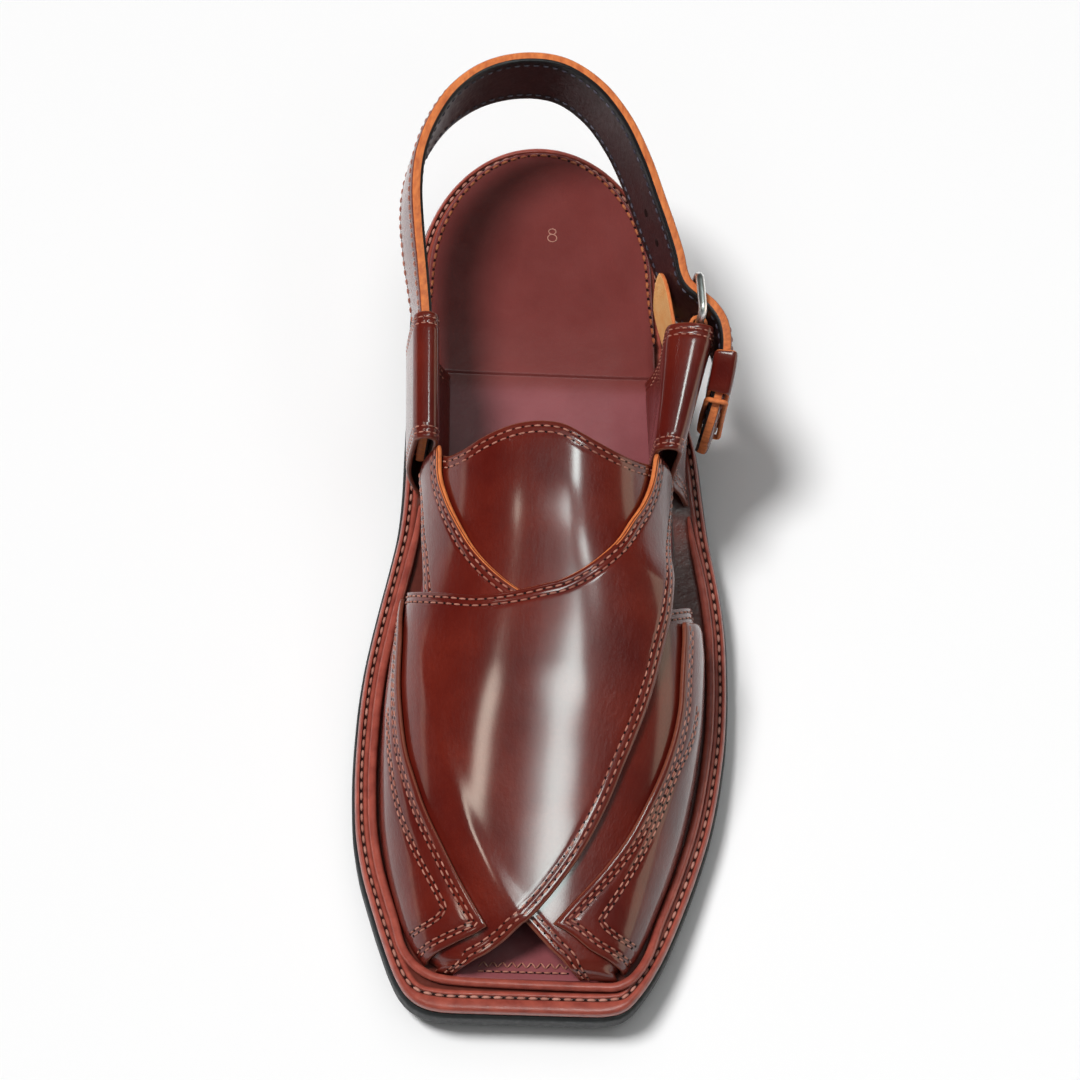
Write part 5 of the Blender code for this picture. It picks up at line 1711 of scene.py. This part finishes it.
def make_room():
    """White room light: a pale band at the horizon that fades to nearly nothing a little above it."""
    world = bpy.data.worlds.new("room")
    world.use_nodes = True
    tree = world.node_tree
    way = tree.nodes.new("ShaderNodeTexCoord")
    split = tree.nodes.new("ShaderNodeSeparateXYZ")
    fall = tree.nodes.new("ShaderNodeMapRange")
    fall.interpolation_type = "SMOOTHSTEP"
    for key, value in (("From Min", 0.0), ("From Max", ROOM_EDGE), ("To Min", stage().sky),
                       ("To Max", stage().sky * ROOM_HIGH)):
        fall.inputs[key].default_value = value
    tree.nodes["Background"].inputs["Color"].default_value = (1.0, 1.0, 1.0, 1.0)
    tree.links.new(way.outputs["Generated"], split.inputs["Vector"])
    tree.links.new(split.outputs["Z"], fall.inputs["Value"])
    tree.links.new(fall.outputs["Result"], tree.nodes["Background"].inputs["Strength"])
    bpy.context.scene.world = world


def make_lamps():
    """A sun as the key, a wide fill overhead, and the lamps that only the glaze mirrors."""
    sun = bpy.data.lights.new("key", "SUN")
    sun.energy = stage().key
    sun.angle = math.radians(KEY_ANGLE)
    key = bpy.data.objects.new("key", sun)
    key.rotation_euler = Vector(KEY_FALLS).to_track_quat("-Z", "Y").to_euler()
    key.visible_glossy = False
    bpy.context.scene.collection.objects.link(key)
    lamp("fill", FILL_AT, (0.0, 0.0, 0.0), FILL_SIZE, stage().fill).visible_glossy = False
    for name, at, size, share, colour in STRIPS:
        lamp(name, at, STRIP_TARGET, size, stage().strips * share, colour).visible_diffuse = False


def make_camera():
    """The photographed view: right, above and backwards as the columns of the camera's matrix."""
    scene = bpy.context.scene
    camera = bpy.data.objects.new("camera", bpy.data.cameras.new("camera"))
    camera.data.lens = stage().lens / MM
    camera.data.clip_start = CLIP_START
    at, target, up = (np.array(v) * MM for v in (CAMERA_AT, CAMERA_TARGET, CAMERA_UP))
    forward = unit(target - at)
    right = unit(np.cross(forward, up))
    above = np.cross(right, forward)
    camera.matrix_world = Matrix(np.column_stack([np.vstack([right, above, -forward]).T, at]).tolist()
                                 + [[0.0, 0.0, 0.0, 1.0]])
    scene.collection.objects.link(camera)
    scene.camera = camera
    scene.view_settings.view_transform = "Standard"


class CHAPPAL_OT_sole(bpy.types.Operator):
    """Make the outsole and the heel block"""

    bl_idname = "chappal.sole"
    bl_label = "Rubber Sole"
    bl_options = {"REGISTER", "UNDO"}

    def execute(self, context):
        make_rubber()
        make_heel()
        return {"FINISHED"}


class CHAPPAL_OT_welt(bpy.types.Operator):
    """Make the welt, its stitches and the rolled bead"""

    bl_idname = "chappal.welt"
    bl_label = "Welt"
    bl_options = {"REGISTER", "UNDO"}

    def execute(self, context):
        make_welt()
        make_bead()
        return {"FINISHED"}


class CHAPPAL_OT_insole(bpy.types.Operator):
    """Make the insole with its sock, its stitch rows and the size numeral"""

    bl_idname = "chappal.insole"
    bl_label = "Insole"
    bl_options = {"REGISTER", "UNDO"}

    def execute(self, context):
        make_insole()
        make_seat_row()
        make_size_numeral()
        make_toe_rows()
        return {"FINISHED"}


class CHAPPAL_OT_tongue(bpy.types.Operator):
    """Make the tongue"""

    bl_idname = "chappal.tongue"
    bl_label = "Tongue"
    bl_options = {"REGISTER", "UNDO"}

    def execute(self, context):
        make_tongue()
        return {"FINISHED"}


class CHAPPAL_OT_panels(bpy.types.Operator):
    """Make both crossed panels"""

    bl_idname = "chappal.panels"
    bl_label = "Crossed Panels"
    bl_options = {"REGISTER", "UNDO"}

    def execute(self, context):
        make_under_panel()
        make_over_panel()
        return {"FINISHED"}


class CHAPPAL_OT_wings(bpy.types.Operator):
    """Make both side wings"""

    bl_idname = "chappal.wings"
    bl_label = "Wings"
    bl_options = {"REGISTER", "UNDO"}

    def execute(self, context):
        make_wings()
        return {"FINISHED"}


class CHAPPAL_OT_sleeves(bpy.types.Operator):
    """Make both sleeves"""

    bl_idname = "chappal.sleeves"
    bl_label = "Sleeves"
    bl_options = {"REGISTER", "UNDO"}

    def execute(self, context):
        make_sleeves()
        return {"FINISHED"}


class CHAPPAL_OT_strap(bpy.types.Operator):
    """Make the heel strap with its stitches and holes"""

    bl_idname = "chappal.strap"
    bl_label = "Heel Strap"
    bl_options = {"REGISTER", "UNDO"}

    def execute(self, context):
        make_heel_strap()
        return {"FINISHED"}


class CHAPPAL_OT_buckle(bpy.types.Operator):
    """Make the buckle, the short strap that carries it, and the flap"""

    bl_idname = "chappal.buckle"
    bl_label = "Buckle"
    bl_options = {"REGISTER", "UNDO"}

    def execute(self, context):
        make_buckle()
        make_buckle_leathers()
        return {"FINISHED"}


class CHAPPAL_OT_keeper(bpy.types.Operator):
    """Make the keeper and its lace"""

    bl_idname = "chappal.keeper"
    bl_label = "Keeper"
    bl_options = {"REGISTER", "UNDO"}

    def execute(self, context):
        make_keeper()
        return {"FINISHED"}


class CHAPPAL_OT_stage(bpy.types.Operator):
    """Make the floor, the room's light, the lamps and the camera"""

    bl_idname = "chappal.stage"
    bl_label = "Stage"
    bl_options = {"REGISTER", "UNDO"}

    def execute(self, context):
        make_floor()
        make_room()
        make_lamps()
        make_camera()
        return {"FINISHED"}


OPERATORS = (
    CHAPPAL_OT_sole, CHAPPAL_OT_welt, CHAPPAL_OT_insole, CHAPPAL_OT_tongue, CHAPPAL_OT_panels, CHAPPAL_OT_wings,
    CHAPPAL_OT_sleeves, CHAPPAL_OT_strap, CHAPPAL_OT_buckle, CHAPPAL_OT_keeper, CHAPPAL_OT_stage,
)


class CHAPPAL_PT_tools(bpy.types.Panel):
    """Lists the chappal's pieces and its colours."""

    bl_label = "Peshawari Chappal"
    bl_idname = "CHAPPAL_PT_tools"
    bl_space_type = "VIEW_3D"
    bl_region_type = "UI"
    bl_category = "Chappal"

    def draw(self, context):
        for each in OPERATORS:
            self.layout.operator(each.bl_idname)
        for group in (context.scene.chappal_look, context.scene.chappal_stage):
            for name in group.bl_rna.properties.keys():
                if name not in ("rna_type", "name"):
                    self.layout.prop(group, name)


CLASSES = (ChappalLook, ChappalStage, *OPERATORS, CHAPPAL_PT_tools)


def register():
    for each in CLASSES:
        bpy.utils.register_class(each)
    bpy.types.Scene.chappal_look = PointerProperty(type=ChappalLook)
    bpy.types.Scene.chappal_stage = PointerProperty(type=ChappalStage)


def unregister():
    del bpy.types.Scene.chappal_look
    del bpy.types.Scene.chappal_stage
    for each in reversed(CLASSES):
        bpy.utils.unregister_class(each)


def main():
    register()
    for each in OPERATORS:
        group, name = each.bl_idname.split(".")
        getattr(getattr(bpy.ops, group), name)()


if __name__ == "__main__":
    main()
